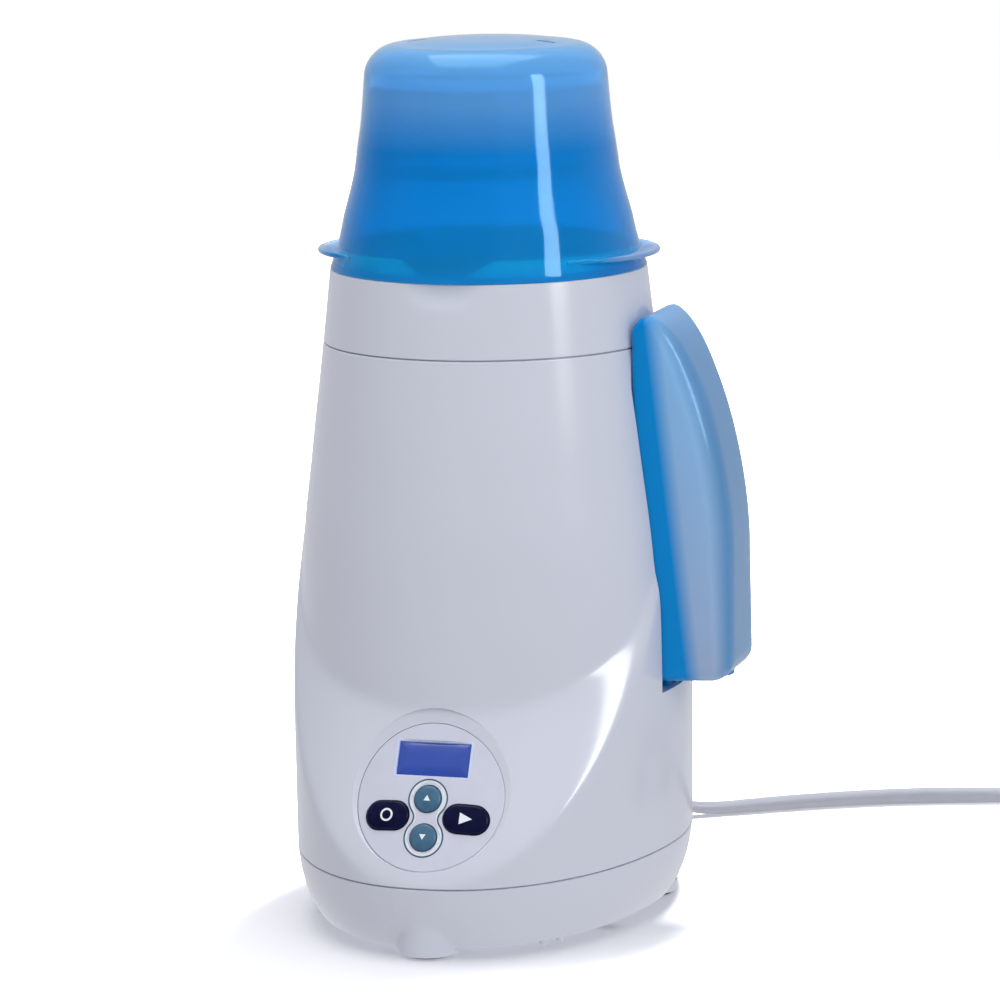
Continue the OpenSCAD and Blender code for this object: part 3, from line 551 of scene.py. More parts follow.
def top_cover():
    steps = 360

    def ring(radius, z):
        return around_axis(radius if callable(radius) else lambda phi: radius + 0 * phi, z, steps)

    def outside(z, t):
        return ring(lambda phi: cover_radius(phi, z) - t, z)

    rings = [outside(COVER_Z + d, t) for d, t in SEAM]
    rings += [outside(z, 0) for z in np.linspace(COVER_Z + 1.5, LID_Z - 0.8, 30)]
    rings += [outside(LID_Z - 0.4, 0.06), outside(LID_Z - 0.1, 0.28), outside(LID_Z, 0.6)]
    for up in (0.02, 0.3, 0.7):
        rings.append(ring(54.6, lambda phi, up=up: LID_Z + up * (rim_top(phi) - 0.6 - LID_Z)))
    rings += [ring(54.3, lambda phi: rim_top(phi) - 0.2), ring(53.8, rim_top), ring(53.1, rim_top),
              ring(52.7, lambda phi: rim_top(phi) - 0.25), ring(52.5, lambda phi: rim_top(phi) - 0.8)]
    for r, z in ((52.2, LID_Z - 1), (52.2, LID_Z - 2.7), (51.9, LID_Z - 3), (44.7, LID_Z - 3),
                 (44.2, LID_Z - 3.4), (44.2, LID_Z - 5.5), (55.1, LID_Z - 5.5), (57.5, COVER_Z)):
        rings.append(ring(r, z))
    obj = to_object("cover_shell", outward(rings_skin(rings, closed=True)), casing)
    # a flat wall behind the top of the water tank
    wall = to_object("wall", rounded_box(54.6, 57.4, -22, 22, COVER_Z + 0.3, 226))
    combine(wall, outward(rings_skin([ring(lambda phi: cover_radius(phi, z) - 1, z)
                                      for z in np.linspace(COVER_Z - 1, 228, 12)])), "INTERSECT")
    combine(obj, mesh_shape(wall), "UNION")
    combine(obj, rounded_box(*POCKET, COVER_Z - 1, 228, 0.8), "DIFFERENCE")
    shade(obj, 30, round_surface(cover_radius))
    stands_for(obj, "base", "casing_plastic", "top_cover")


FOOT_Z = 1.0
FRONT_FOOT_Y = -FRONT + 13
# each foot's middle, its radius low down and at its top, and the height of its top
FEET = [((0, FRONT_FOOT_Y), 11.5, 11.3, 4.2), ((0, 78), 11, 11, 5),
        ((53, 17), 10, 10, 5), ((-53, 17), 10, 10, 5)]
SCREWS = [arc_line(0, 0, float(skin(a, BASE_Z, WALL)) - 10.2, [a])[0] for a in (35, 145, 215, 325)]


def base_radius(phi, z):
    """Outside of the base cover, with the front foot swelling out of it."""
    plain = skin(phi, BASE_Z, tuck(z))
    foot_r = 11.6 - 2.6 * np.clip((z - 1) / 15, 0, 1) ** 1.5
    swing = (np.radians(phi + 90) + np.pi) % (2 * np.pi) - np.pi
    near = np.abs(swing) < 0.5
    half = foot_r ** 2 - (FRONT_FOOT_Y * np.sin(swing)) ** 2
    foot = np.where(near & (half > 0), -FRONT_FOOT_Y * np.cos(swing) + np.sqrt(np.maximum(half, 0)), 60)
    return larger(plain, foot, 1.1)


def base_cover():
    def ring(z, t):
        return around_axis(lambda phi: base_radius(phi, z) - t, z, AROUND)

    rings = [ring(3, 1.2), ring(3.1, 0.5), ring(3.4, 0.12)]
    rings += [ring(z, 0) for z in np.linspace(3.9, BASE_Z - 2, 32)]
    rings += [ring(BASE_Z - d, t) for d, t in SEAM[::-1]]
    rings += [around_axis(lambda phi: skin(phi, BASE_Z, WALL + tuck(z)), z, AROUND)
              for z in (BASE_Z, 20, 13, 8, 5.5)]
    obj = to_object("base_shell", outward(rings_skin(rings)), casing)

    feet = [turned_solid([(r_low - 0.9, FOOT_Z), (r_low - 0.25, FOOT_Z + 0.25), (r_low, FOOT_Z + 0.9),
                          (r_high, top)], 64, at) for at, r_low, r_high, top in FEET]
    nubs = [turned_solid([(1.0, 1.6), (1.5, 2.2), (1.5, 4.4)], 20,
                         arc_line(0, 0, skin(a, BASE_Z, 8.6), [a])[0]) for a in (-62.0, -57.0)]
    bosses = [turned_solid([(5, 4.5), (5, BASE_Z - 0.2)], 32, at) for at in SCREWS]
    combine(obj, joined(*feet, *nubs, *bosses), "UNION")
    cuts = [turned_solid([(7.8, 0), (7.8, 2.2)], 48, at) for at, *_ in FEET]
    cuts += [rounded_box(x - 1.5, x + 1.5, -52, -22, 2, 7, 1.4) for x in range(-30, 31, 10)]
    bore = [(3.4, 2), (3.4, 8), (1.7, 8), (1.7, BASE_Z + 1)]
    cuts += [turned_solid(bore, 32, at) for at in SCREWS]
    cuts.append(outward(rings_skin([OUTLET_AT + OUTLET_WAY * s + 6.6 * tube_ring(OUTLET_WAY, 48)
                                    for s in (-10, 10)])))
    combine(obj, joined(*cuts), "DIFFERENCE")
    shade(obj, 30, round_surface(base_radius))
    stands_for(obj, "base", "casing_plastic", "base_cover")


def across(way):
    """Two unit directions square to way, the first one level."""
    side = np.cross(way, [0, 0, 1])
    side /= np.linalg.norm(side)
    return side, np.cross(side, way)


def tube_ring(way, steps):
    side, up = across(way)
    a = np.arange(steps) * 2 * np.pi / steps
    return np.cos(a)[:, None] * side + np.sin(a)[:, None] * up


OUTLET_TURN, OUTLET_DIP, RELIEF_LEN = 19.0, 4.0, 24.0
OUTLET_AT = np.array([16.7, 93.5, 12.0])
OUTLET_WAY = np.array([sind(OUTLET_TURN) * cosd(OUTLET_DIP), cosd(OUTLET_TURN) * cosd(OUTLET_DIP),
                       -sind(OUTLET_DIP)])


# ---- lid ----

lid_radius = smooth_curve([(LID_Z + dz, LID_R - dr) for dz, dr in (
    (0, 0), (8, 2.7), (13, 4), (19, 5.3), (24, 6.7), (29.6, 8.2), (35, 9.4), (40.5, 10.2), (46, 11),
    (51, 11.8), (62, 12.9), (68, 13.4))])
LID_TOP, LID_WALL = 315.0, 1.6
CROWN_R, CROWN_BEND = LID_R - 25.4, 12  # the crown's radius, and that of the bend round it
lid_crown = smooth_curve([(0, LID_TOP), (LID_R * 0.35, LID_TOP - 0.7), (CROWN_R, LID_TOP - 2.1)])


def lid_side(t):
    """The lid's side view from its top middle down to its edge, t below the outside."""
    line = [(max(r, 0.001), float(lid_crown(r)) - t) for r in np.linspace(0, CROWN_R, 9)[:-1]]
    line += arc_line(CROWN_R, LID_TOP - 14.1, CROWN_BEND - t, range(90, 5, -8))
    line += [(float(lid_radius(z)) - t - (0.6 if t and z > LID_Z + 38 else 0), z)
             for z in np.linspace(LID_TOP - 15.1, LID_Z + 1, 40)]
    return line


def lid():
    edge = [(LID_R - 0.03, LID_Z + 0.35), (LID_R - 0.3, LID_Z), (LID_R - LID_WALL + 0.25, LID_Z),
            (LID_R - LID_WALL, LID_Z + 0.3)]
    line = lid_side(0) + edge + lid_side(LID_WALL)[::-1]
    shell = outward(rings_skin([circle(0, 0, z, r, 240) for r, z in line]))
    obj = to_object("lid_shell", shell, lid_blue)
    low, high = LID_Z + 5, LID_Z + 6.8
    inner = float(lid_radius(low)) - 0.8
    for side in (0, 180):
        sections = []
        for swing in np.linspace(-43, 43, 69):
            tip = 22.5 * cosd(swing) + np.sqrt(40 ** 2 - (22.5 * sind(swing)) ** 2)
            tip = larger(tip, inner + 0.75, 0.2)
            edge = [(inner, low), (tip - 0.7, low), (tip - 0.25, low + 0.2), (tip, low + 0.65),
                    (tip, high - 0.65), (tip - 0.25, high - 0.2), (tip - 0.7, high), (inner, high)]
            phi = side + swing
            sections.append(np.array([(r * cosd(phi), r * sind(phi), z) for r, z in edge]))
        combine(obj, outward(rings_skin(sections)), "UNION")
    vents = [rounded_box(x - 3.5, x + 3.5, -6, -4.2, LID_TOP - 6, LID_TOP + 1, 0.85) for x in (-24, 24)]
    combine(obj, joined(*vents), "DIFFERENCE")
    shade(obj, 40)
    stands_for(obj, "lid", "lid_plastic", "lid_dome")


# ---- water tank ----

TANK_IN, TANK_OUT, TANK_LOW, TANK_TOP, TANK_HALF, TANK_WALL = 58.2, 93.0, 87.0, 218.0, 20.0, 1.8
SHOULDER_H, SHOULDER_POWER = 83, 1.68
NECK_X, CAP_X = 62.4, 80.0


def tank_path():
    """Side view of the tank as rows of x, z, outward normal and edge rounding."""
    rows = []

    def straight(x0, z0, x1, z1, nx, nz, f0, f1, n):
        for s in np.linspace(0, 1, n):
            rows.append((x0 + (x1 - x0) * s, z0 + (z1 - z0) * s, nx, nz, f0 + (f1 - f0) * s))

    def arc(cx, cz, a, b, start, end, f0, f1, n, power=2):
        """Part of an ellipse, or of a flatter oval with a power below 2."""
        for s in np.linspace(0, 1, n):
            way = np.array([cosd(start + (end - start) * s), sind(start + (end - start) * s)])
            oval = np.sign(way) * np.abs(way) ** (2 / power)
            nx, nz = np.sign(way) * np.abs(oval) ** (power - 1) / [a, b]
            size = math.hypot(nx, nz)
            rows.append((cx + a * oval[0], cz + b * oval[1], nx / size, nz / size, f0 + (f1 - f0) * s))

    shoulder = (TANK_IN + 6, TANK_TOP - SHOULDER_H, TANK_OUT - TANK_IN - 6, SHOULDER_H)
    straight(TANK_IN, TANK_LOW + 3, TANK_IN, TANK_TOP - 6.6, -1, 0, 1.0, 1.6, 40)
    arc(TANK_IN + 6, TANK_TOP - 6, 6, 6, 180, 92, 1.6, 3.2, 14)
    arc(*shoulder, 90, 50, 3.2, 9, 36, SHOULDER_POWER)
    arc(*shoulder, 49, 0, 9, 9, 44, SHOULDER_POWER)
    straight(TANK_OUT, TANK_TOP - SHOULDER_H - 1, TANK_OUT, TANK_LOW + 9, 1, 0, 9, 7, 18)
    arc(TANK_OUT - 8, TANK_LOW + 8, 8, 8, 0, -90, 7, 5.5, 16)
    straight(TANK_OUT - 9, TANK_LOW, TANK_IN + 3, TANK_LOW, 0, -1, 5.4, 1.0, 14)
    arc(TANK_IN + 2.8, TANK_LOW + 2.8, 2.8, 2.8, 266, 190, 1.0, 1.0, 7)
    return np.array(rows)


def tank_form(t):
    """The tank's closed form, t below its outside."""
    x, z, nx, nz, f = tank_path().T
    f = np.maximum(f - t, 0.5)
    half = TANK_HALF - t
    rings = []

    def ring(inset, y):
        return np.stack([x - nx * (t + inset), y, z - nz * (t + inset)], -1)

    bends = np.linspace(90, 0, 9)
    for b in bends:
        rings.append(ring(f * (1 - cosd(b)), -half + f * (1 - sind(b))))
    for s in np.linspace(0, 1, 9)[1:-1]:
        rings.append(ring(0 * f, (-half + f) * (1 - s) + (half - f) * s))
    for b in bends[::-1]:
        rings.append(ring(f * (1 - cosd(b)), half - f * (1 - sind(b))))
    return outward(rings_skin(rings))


def tank():
    obj = to_object("tank_shell", tank_form(0), tank_blue)
    combine(obj, rounded_box(TANK_IN + 0.1, 67.4, -8, 8, 83, 88.4, 1.2), "UNION")
    combine(obj, turned_solid([(3.1, 77), (3.4, 77.3), (3.4, 84.3)], 48, (NECK_X, 0)), "UNION")
    combine(obj, tank_form(TANK_WALL), "DIFFERENCE")
    boss = to_object("boss", turned_solid([(11.7, 86.5), (11.7, 93)], 64, (CAP_X, 0)))
    combine(boss, tank_form(0.1), "INTERSECT")
    combine(obj, mesh_shape(boss), "UNION")
    for bore, at in (([(2.1, 76), (2.1, 86.5), (1.5, 86.6), (1.5, 90)], NECK_X),
                     ([(10, 86), (10, 88.7), (8.3, 88.7), (8.3, 94)], CAP_X)):
        combine(obj, turned_solid(bore, 64, (at, 0)), "DIFFERENCE")
    shade(obj, 32)
    stands_for(obj, "reservoir", "tank_plastic", "reservoir_tank")


# ---- control panel ----

WINDOW_AT, WINDOW = (0, 14.0), (27.4, 13.2)
PILL_W, PILL_H, PILL_U, PILL_V = 16.3, 10.5, 14.4, -7.0
KEY_R, UP_V, DOWN_V = 4.85, -0.6, -14.5
KEY_GAP = 0.3


def panel_surface(height):
    """The curved surface at that height over the front face, for shade()."""
    def surface(points):
        p = points - PANEL_AT
        u, n = p[:, 0], p @ PANEL_N + FACE_R
        size = np.hypot(u, n)
        normal = (u / size)[:, None] * [1, 0, 0] + (n / size)[:, None] * PANEL_N
        return size - FACE_R - height, normal
    return surface


def outline_at(line, height):
    """Panel points over a (u, v) outline at a height over the curved face."""
    u, v = np.asarray(line, float).T
    return on_panel(np.stack([u, v, face_n(u, height)], -1))


def pill_line(u, v, w, h):
    r = h / 2
    return (arc_line(u + w / 2 - r, v, r, np.linspace(-90, 90, 16))
            + arc_line(u - w / 2 + r, v, r, np.linspace(90, 270, 16)))


def over_panel(lines):
    """A solid through (outline, height) pairs over the curved face."""
    return outward(rings_skin([outline_at(line, height) for line, height in lines]))


def through_panel(line, low, high):
    """A straight prism through the panel between two depths."""
    line = np.asarray(line, float)
    return outward(rings_skin([on_panel(np.column_stack([line, np.full(len(line), n)]))
                               for n in (low, high)]))


def key_holes():
    lines = [pill_line(side * PILL_U, PILL_V, PILL_W + 2 * KEY_GAP, PILL_H + 2 * KEY_GAP)
             for side in (-1, 1)]
    return lines + [disc_line(0, v, KEY_R + KEY_GAP) for v in (UP_V, DOWN_V)]


def panel():
    rings = [(0.01, -RECESS)] + [(r, -RECESS) for r in np.linspace(2.5, PANEL_R - 0.5, 11)]
    rings += [(PANEL_R - 0.2, -RECESS - 0.06), (PANEL_R - 0.03, -RECESS - 0.25), (PANEL_R, -RECESS - 0.5),
              (PANEL_R, -3.1), (31.2, -3.1), (31.2, -4.1)]
    rings += [(r, -4.1) for r in (28, 24, 20, 16, 12, 8, 4, 0.01)]
    disc = over_panel([(disc_line(0, 0, r, 144), h) for r, h in rings])
    obj = to_object("panel_disc", disc, panel_white)
    for line in key_holes() + [box_line(*WINDOW_AT, *WINDOW)]:
        combine(obj, through_panel(line, -12, 6), "DIFFERENCE")
    posts = [through_panel(disc_line(x, y, 2.4, 24), -14.4, -6.3)
             for x in (-21.5, 21.5) for y in (-20.5, 20.5)]
    combine(obj, joined(*posts), "UNION")
    shade(obj, 30, panel_surface(-RECESS), 0.05)
    stands_for(obj, "base", "panel_plastic", "panel_bezel")

    # rim and screen of the display
    (u, v), (w, h) = WINDOW_AT, WINDOW
    grow_corner_height = [(-0.02, 0.4, -2.2), (-0.02, 0.4, -RECESS - 0.02), (0.9, 0.8, -RECESS - 0.02),
                          (0.8, 0.8, -RECESS + 0.12), (0.2, 0.5, -RECESS + 0.2), (-0.8, 0.3, -RECESS + 0.06),
                          (-1.2, 0.3, -RECESS - 0.5), (-1.2, 0.3, -2.2)]
    frame_rings = [(box_line(u, v, w + grow, h + grow, corner), height)
                   for grow, corner, height in grow_corner_height]
    rings = [outline_at(line, height) for line, height in frame_rings]
    rim = shade(to_object("display_rim", outward(rings_skin(rings, closed=True)), rim_pale), 35)
    stands_for(rim, "base", "panel_plastic")
    glass = to_object("display_glass", over_panel([
        (box_line(u, v, w - less, h - less), height) for less, height in (
            (0.3, -2.8), (0.3, -RECESS - 0.62), (0.7, -RECESS - 0.5), (9, -RECESS - 0.5))]), screen_blue)
    shade(glass, 35)
    stands_for(glass, "base", "display_window", "lcd_window")

    # line round the two arrow keys
    middle_v, ring_r, neck_r = (UP_V + DOWN_V) / 2, 7.0, 3.75
    reach = (UP_V - DOWN_V) / 2
    neck_u = math.sqrt((ring_r + neck_r) ** 2 - reach ** 2)
    open_a = math.degrees(math.atan2(reach, neck_u))
    line = []
    for cu, cv, r, start, end, count in (
            (0, UP_V, ring_r, -open_a, 180 + open_a, 64), (-neck_u, middle_v, neck_r, open_a, -open_a, 14),
            (0, DOWN_V, ring_r, 180 - open_a, 360 + open_a, 64),
            (neck_u, middle_v, neck_r, 180 + open_a, 180 - open_a, 14)):
        line += arc_line(cu, cv, r, np.linspace(start, end, count)[:-1])
    line = np.array(line)
    way = np.roll(line, -1, 0) - np.roll(line, 1, 0)
    way /= np.linalg.norm(way, axis=1)[:, None]
    out = np.stack([way[:, 1], -way[:, 0]], -1)
    band = [(-0.28, -RECESS - 0.2), (-0.28, -RECESS + 0.06), (0.28, -RECESS + 0.06), (0.28, -RECESS - 0.2)]
    obj = to_object("key_outline", outward(rings_skin(
        [outline_at(line + out * d, h) for d, h in band], closed=True)), outline_ink)
    stands_for(shade(obj, 35), "base", "panel_plastic")
    inner = line - out * 0.3
    slab = over_panel([(inner, -RECESS - 0.2), (inner, -RECESS + 0.03)])
    plate = to_object("key_plate", slab, plate_white)
    combine(plate, joined(*[through_panel(line, -8, 4) for line in key_holes()[2:]]), "DIFFERENCE")
    stands_for(shade(plate, 35, panel_surface(-RECESS + 0.03), 0.04), "base", "panel_plastic")


def key(word, slot, material, line_at, dome, edge):
    """line_at(inset) is the key's outline. Its top curves down at the edge by edge and rises by dome."""
    lines = [(line_at(-0.8), -6.7), (line_at(-0.8), -4.9), (line_at(0), -4.9), (line_at(0), -edge)]
    lines += [(line_at(edge * (1 - cosd(a))), -edge * (1 - sind(a))) for a in (20, 40, 60, 80)]
    lines += [(line_at(edge + s * 3.2), dome * (1 - (1 - s) ** 2)) for s in (0.15, 0.4, 0.7, 1.0)]
    middle = np.mean(np.asarray(line_at(0)), 0)
    stem = through_panel(disc_line(*middle, 1.7, 24), -9.1, -7.6)
    obj = to_object(word + "_key_cap", joined(over_panel(lines), stem), material)
    stands_for(shade(obj, 50), word + "_key", slot, word + "_button")


def symbol(word, slot, line, inner, top):
    """A thin inlay that stands a hair proud of its key."""
    if inner is None:
        shape = over_panel([(line, top - 0.6), (line, top)])
    else:
        ring = ((inner, top - 0.6), (inner, top), (line, top), (line, top - 0.6))
        shape = outward(rings_skin([outline_at(edge, height) for edge, height in ring], closed=True))
    obj = to_object(word + "_symbol", shape, symbol_white)
    stands_for(shade(obj, 35), word + "_key", slot)


def keys():
    for word, side in (("off", -1), ("start", 1)):
        key(word, "key_navy", key_navy, lambda inset, side=side: pill_line(
            side * PILL_U, PILL_V, PILL_W - 2 * inset, PILL_H - 2 * inset), 0.22, 1.1)
    for word, v in (("up", UP_V), ("down", DOWN_V)):
        key(word, "key_teal", key_teal, lambda inset, v=v: disc_line(0, v, KEY_R - inset), 0.3, 1.0)
    symbol("off", "key_navy", disc_line(-PILL_U, PILL_V, 2.35), disc_line(-PILL_U, PILL_V, 1.65), 0.26)
    start = [(PILL_U - 2.0, PILL_V - 2.1), (PILL_U + 2.5, PILL_V), (PILL_U - 2.0, PILL_V + 2.1)]
    symbol("start", "key_navy", start, None, 0.26)
    up = [(-1.2, UP_V - 0.9), (1.2, UP_V - 0.9), (0, UP_V + 1.1)]
    symbol("up", "key_teal", up, None, 0.34)
    down = [(-1.2, DOWN_V + 0.9), (0, DOWN_V - 1.1), (1.2, DOWN_V + 0.9)]
    symbol("down", "key_teal", down, None, 0.34)


# ---- cord ----

CORD_W, CORD_T = 7.2, 4.2
BEFORE_COIL = 16  # points of the route before it
COIL_AT, COIL_R, TURNS = np.array([213.8, 158.2]), 39.0, 2
COIL_START, COIL_EXIT = 104.5, -39.5  # the angles where the cord joins and leaves the coil


def on_coil(radius, angle, height):
    """A point at that angle round the coil's middle."""
    return np.array([COIL_AT[0] + radius * cosd(angle), COIL_AT[1] + radius * sind(angle), height])


def coil_axes(angle):
    """Unit directions outward and along the turns at that angle round the coil."""
    return np.array([cosd(angle), sind(angle), 0]), np.array([-sind(angle), cosd(angle), 0])


def cord_line():
    """Points from the strain relief to the plug, and the roll of the flat section at each."""
    tip = OUTLET_AT + RELIEF_LEN * OUTLET_WAY
    route = [tip, tip + 4 * OUTLET_WAY] + [np.array(p, float) for p in (
        (28.2, 124.4, 8.9), (31.8, 128.4, 7.2), (36, 131.9, 5.6), (41, 135.3, 4.4), (47.5, 139.2, 3.7),
        (56, 144, 3.6),
        (66, 149.8, 3.6), (78, 156.5, 3.6), (92, 163.6, 3.6), (108, 170.6, 3.6), (126, 176.6, 3.6),
        (146, 182.4, 3.6), (166, 188.4, 3.6), (185, 194.6, 3.6))]
    rolls = list(np.interp(np.arange(len(route)), [0, 4, 8, 12, 14, 15], [0, 18, 40, 58, 40, 20]))
    total = COIL_START - COIL_EXIT + 360 * TURNS
    layer = [(0, 42.6, 2.1), (330, 42.6, 2.1), (420, 35.4, 2.1), (600, 35.4, 2.1), (720, 42, 6.3),
             (800, 42, 6.3), (total, COIL_R, 6.4)]
    angle, radius, height = np.array(layer).T
    for w in np.arange(0, total + 0.1, 12.0):
        a = COIL_START - w
        r = np.interp(w, angle, radius)
        route.append(on_coil(r, a, np.interp(w, angle, height)))
        rolls.append(0)
    ahead = coil_axes(COIL_EXIT - 90)[0]
    for s, z in ((8, 6.9), (16, 7.7), (25, 8.8), (29, 9.1), (34, 9.2)):
        route.append(on_coil(COIL_R, COIL_EXIT, z) + s * ahead)
        rolls.append(0)
    return np.array(route), np.array(rolls)


def smooth_line(points, step):
    """The points joined by a smooth curve and spaced evenly."""
    t = np.concatenate([[0], np.cumsum(np.linalg.norm(np.diff(points[:, :3], axis=0), axis=1))])
    slope = np.gradient(points, t, axis=0)
    at = np.arange(0, t[-1], step)
    i = np.clip(np.searchsorted(t, at, side="right") - 1, 0, len(t) - 2)
    h = (t[i + 1] - t[i])[:, None]
    return cubic((at - t[i])[:, None] / h, h, points[i], points[i + 1], slope[i], slope[i + 1])


def cord():
    route, rolls = cord_line()
    # the route's heights suit a cord on its edge, so before the coil it drops where it lies flatter
    on_table = np.arange(len(route)) < BEFORE_COIL
    lift = CORD_T / 2 + (CORD_W - CORD_T) / 2 * sind(np.abs(rolls)) - CORD_W / 2
    fade = np.clip((10.3 - route[:, 2]) / 6.7, 0, 1)
    route[:, 2] += np.where(on_table, lift * fade, 0)
    line = smooth_line(np.column_stack([route, rolls]), 2.0)
    centre, roll = line[:, :3], line[:, 3]
    a = np.arange(28) * 360 / 28
    # two round strands joined side by side, with a groove between them
    wide = np.sign(cosd(a)) * (CORD_W - CORD_T) / 2 + CORD_T / 2 * cosd(a)
    high = CORD_T / 2 * sind(a) * np.where(np.abs(cosd(a)) < 0.3, 0.78, 1.0)
    way = np.gradient(centre, axis=0)
    rings = []
    for c, w, q in zip(centre, way, roll):
        side, up = across(w / np.linalg.norm(w))
        x, y = wide * cosd(q) - high * sind(q), wide * sind(q) + high * cosd(q)
        rings.append(c + x[:, None] * side + y[:, None] * up)
    obj = to_object("mains_lead", outward(rings_skin(rings)), cord_plastic)
    stands_for(shade(obj, 60), "base", "cord_plastic", "power_cord", "cord_coil", "cord_tail")
    return obj, centre


def relief():
    profile = [(0.01, -7.4), (8.4, -7.4), (8.4, -5.4), (6.4, -5.4), (6.4, 1.5)]
    for k in range(7):
        s = 2.2 + 3 * k
        r = 6.4 - 2.0 * max(s - 4, 0) / 20
        profile += [(r - 1.0, s), (r - 1.0, s + 0.9), (r, s + 1.2), (r - 0.1, s + 2.7)]
    profile += [(4.4, RELIEF_LEN - 0.6), (3.9, RELIEF_LEN), (0.01, RELIEF_LEN)]
    rings = [OUTLET_AT + OUTLET_WAY * s + max(r, 0.01) * tube_ring(OUTLET_WAY, 48) for r, s in profile]
    obj = to_object("cord_relief", outward(rings_skin(rings)), cord_plastic)
    stands_for(shade(obj, 30), "base", "cord_plastic", "strain_relief")


def tie():
    at = 200
    out, along = coil_axes(at)
    centre = on_coil(COIL_R, at, 0)

    def loop(half, low, high, r):
        return np.array(box_line(0, (low + high) / 2, 2 * half, high - low, r, 8))

    outer, inner = loop(8.5, 0.02, 9.6, 3.0), loop(7.7, 0.7, 8.8, 2.3)
    sections = [(inner, -2.4), (outer, -2.4), (outer, 2.4), (inner, 2.4)]
    shape = rings_skin([centre + p[:, :1] * out + p[:, 1:] * [0, 0, 1] + along * y for p, y in sections],
                       closed=True)
    obj = to_object("cord_band", outward(shape), tie_plastic)
    return stands_for(shade(obj, 40), "base", "tie_plastic", "cord_tie")


def plug():
    ahead, left = coil_axes(COIL_EXIT - 90)
    end = on_coil(COIL_R, COIL_EXIT, 9.2) + 33 * ahead
    sections = [(0, 3.7, 2.6, 0, 2.5), (0.6, 4.2, 3.2, 0, 3.1)]
    for k in range(4):
        x = 1.6 + 2.9 * k
        sections += [(x + dx, wide + 0.2 * k, high + 0.35 * k, 0, r) for dx, wide, high, r in (
            (0, 4.25, 3.7, 3.6), (0.4, 3.6, 3.0, 2.9), (1.1, 3.6, 3.0, 2.9), (1.5, 4.3, 3.8, 3.7))]
    sections += [(13.4, 6.2, 5.9, -0.1, 5.2), (14.6, 8.6, 7.0, -0.4, 5), (16.5, 10.8, 8.0, -0.6, 4.6),
                 (19.5, 11.7, 8.5, -0.6, 4.2), (24, 11.9, 8.6, -0.6, 3.8), (31.5, 11.9, 8.6, -0.6, 3.4),
                 (33.2, 11.5, 8.2, -0.6, 3.2), (34, 10.6, 7.3, -0.6, 2.8)]
    rings = []
    for x, hy, hz, zc, r in sections:
        r = min(r, hy - 0.05, hz - 0.05)
        pts = np.array(box_line(0, zc, 2 * hy, 2 * hz, r, 9))
        rings.append(end + x * ahead + pts[:, :1] * left + pts[:, 1:] * [0, 0, 1])
    obj = to_object("mains_plug_body", outward(rings_skin(rings)), cord_plastic)
    return stands_for(shade(obj, 35), "base", "cord_plastic", "power_plug")


lead, lead_line = cord()
relief()
band, plug_body = tie(), plug()
housing()
top_cover()
base_cover()
lid()
tank()
panel()
keys()

# ---- CAD parts that keep their shape ----

KEPT = {
    rubber: ["rubber_feet"],
    screw_steel: ["base_screws", "clamp_screws", "board_screws", "power_board_screws", "valve_spring"],
    aluminium: ["chamber_liner", "heating_plate"],
    silicone: ["plate_gasket", "seat_gasket", "fill_cap_gasket", "neck_seal"],
    heater_metal: ["heater_ring", "clamp_ring"],
    dark_plastic: ["thermostat", "microcontroller", "tact_switches", "buzzer", "transformer"],
    ceramic: ["thermal_fuse", "temperature_sensor"],
    white_plastic: ["reservoir_seat", "lift_basket", "valve_stem"],
    clear_hose: ["inlet_hose"], display_blue: ["lcd_module"], board_green: ["control_board", "power_board"],
    relay_blue: ["power_relay"], capacitor_yellow: ["filter_capacitor"], terminal_green: ["terminal_block"],
    wire_brown: ["mains_wires"], tank_blue: ["fill_cap"], pin_metal: ["plug_pins"]}
for material, names in KEPT.items():
    for name in names:
        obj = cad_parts[name]
        if not obj.material_slots:
            obj.data.materials.append(material)
        for slot in obj.material_slots:
            slot.material = material

# ---- surroundings ----

def make_floor():
    n, half = 40, 2.5
    xs = np.linspace(-half, half, n)
    points = [(x, y, 0.0) for y in xs for x in xs]
    faces = [(j * n + i, j * n + i + 1, (j + 1) * n + i + 1, (j + 1) * n + i)
             for j in range(n - 1) for i in range(n - 1)]
    mesh = bpy.data.meshes.new("floor")
    mesh.from_pydata(points, [], faces)
    floor = linked("floor", mesh)
    mat = finish_of("floor white", (244, 244, 246), (0.7, 0.8), 0.003, 3, 300, 0.02,
                    Specular_IOR_Level=0.1)
    tree = mat.node_tree
    place = node(tree, "ShaderNodeTexCoord").outputs["Object"]
    away = node(tree, "ShaderNodeVectorMath", {"Vector": place}, operation="LENGTH").outputs["Value"]
    tree.links.new(remap(tree, away, 0.05, 0.8, 0.1, 0.5), shader_of(mat).inputs["Emission Strength"])
    shader_of(mat).inputs["Emission Color"].default_value = (1, 1, 1, 1)
    mesh.materials.append(mat)
    floor.visible_diffuse = False
    floor.visible_glossy = False
    return floor


def area_light(name, place, target, size, power):
    data = bpy.data.lights.new(name, "AREA")
    data.shape, data.size, data.size_y = "RECTANGLE", size[0], size[1]
    data.energy = power
    light = linked(name, data)
    light.location = place
    light.rotation_euler = (Vector(target) - Vector(place)).to_track_quat("-Z", "Y").to_euler()
    return light


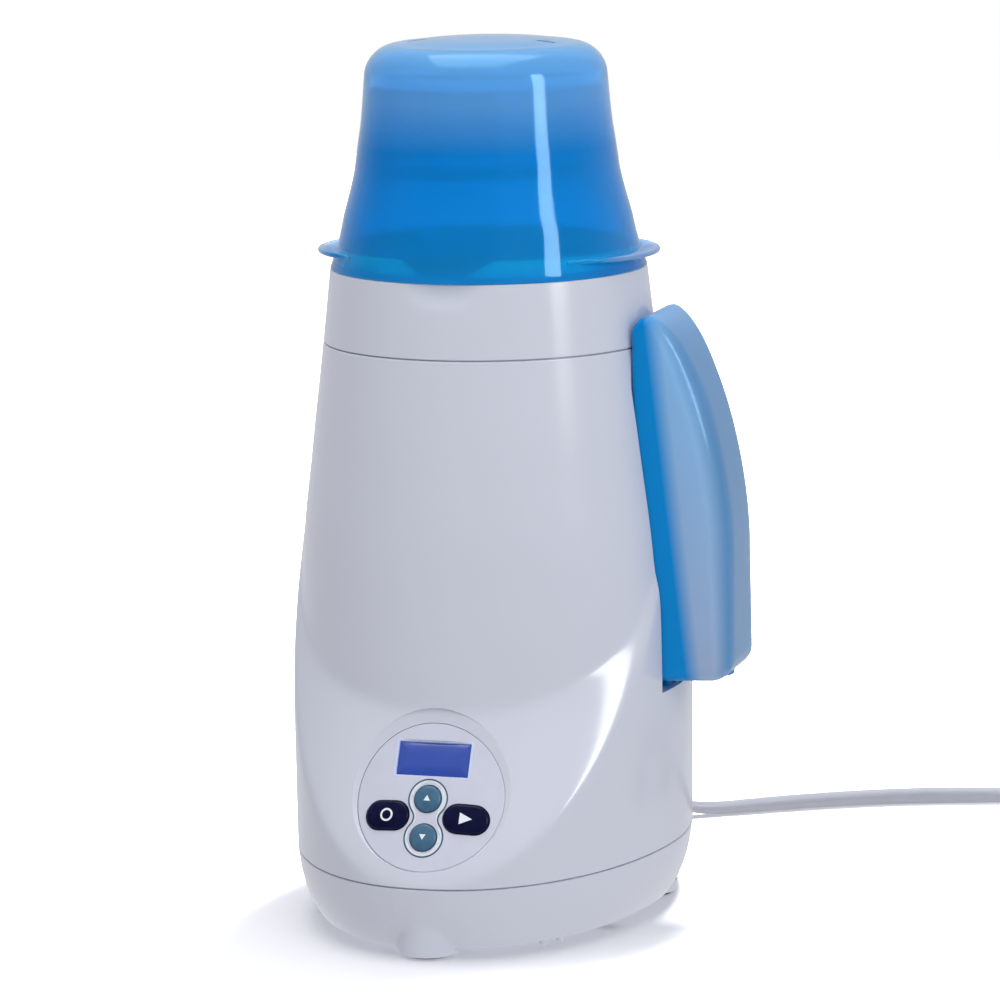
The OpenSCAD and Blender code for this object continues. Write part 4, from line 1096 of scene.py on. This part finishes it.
def make_world():
    world = bpy.data.worlds.new("studio")
    bpy.context.scene.world = world
    world.use_nodes = True
    tree = world.node_tree
    tree.nodes.clear()
    seen = node(tree, "ShaderNodeLightPath").outputs["Is Camera Ray"]
    way = node(tree, "ShaderNodeTexCoord").outputs["Generated"]
    split = node(tree, "ShaderNodeSeparateXYZ", {"Vector": way}).outputs
    rightward = remap(tree, split["X"], 0, 1, -1, 1)
    ahead = blend_colours(tree, rightward, (0.24, 0.24, 0.24, 1), (0.36, 0.37, 0.4, 1))
    level = blend_colours(tree, remap(tree, split["Y"], 0, 1, 0, 0.7), ahead, (0.6, 0.61, 0.65, 1))
    above = blend_colours(tree, remap(tree, split["Z"], 0, 1, 0.3, 1), level, (0.8, 0.82, 0.88, 1))
    colour = blend_colours(tree, remap(tree, split["Z"], 0, 1, -0.4, -0.02), (0.85, 0.86, 0.89, 1), above)
    lit = node(tree, "ShaderNodeBackground", {"Color": colour})
    white = node(tree, "ShaderNodeBackground", {"Color": (1, 1, 1, 1)})
    both = node(tree, "ShaderNodeMixShader", {0: seen, 1: lit.outputs[0], 2: white.outputs[0]})
    node(tree, "ShaderNodeOutputWorld", {"Surface": both.outputs[0]})


floor = make_floor()
make_world()
area_light("top softbox", (-0.1, 0.0, 1.3), (0, 0, 0.15), (1.1, 0.9), 9.5)
fill = area_light("front fill", (1.25, -1.15, 0.9), (0, 0, 0.15), (1.3, 1.2), 11)
fill.visible_glossy = False
strip = area_light("side strip", (1.1, -0.47, 0.6), (0, 0, 0.3), (0.26, 0.56), 6)
strip.visible_diffuse = False
left = area_light("left fill", (-1.3, -0.8, 0.7), (0, 0, 0.15), (0.8, 0.8), 2)
left.visible_glossy = False
# a light for the floor alone keeps it white up to a close, soft shadow
table = area_light("floor light", (0.15, 0.5, 1.25), (0, 0, 0), (0.3, 0.3), 30)
table.visible_glossy = False
floor_alone = bpy.data.collections.new("floor alone")
floor_alone.objects.link(floor)
table.light_linking.receiver_collection = floor_alone
all_but_floor = bpy.data.collections.new("all but the floor")
all_but_floor.objects.link(floor)
all_but_floor.collection_objects[0].light_linking.link_state = "EXCLUDE"
for light in (fill, left):
    light.light_linking.receiver_collection = all_but_floor
scene = bpy.context.scene
scene.view_settings.view_transform = "Standard"
scene.view_settings.look = "None"
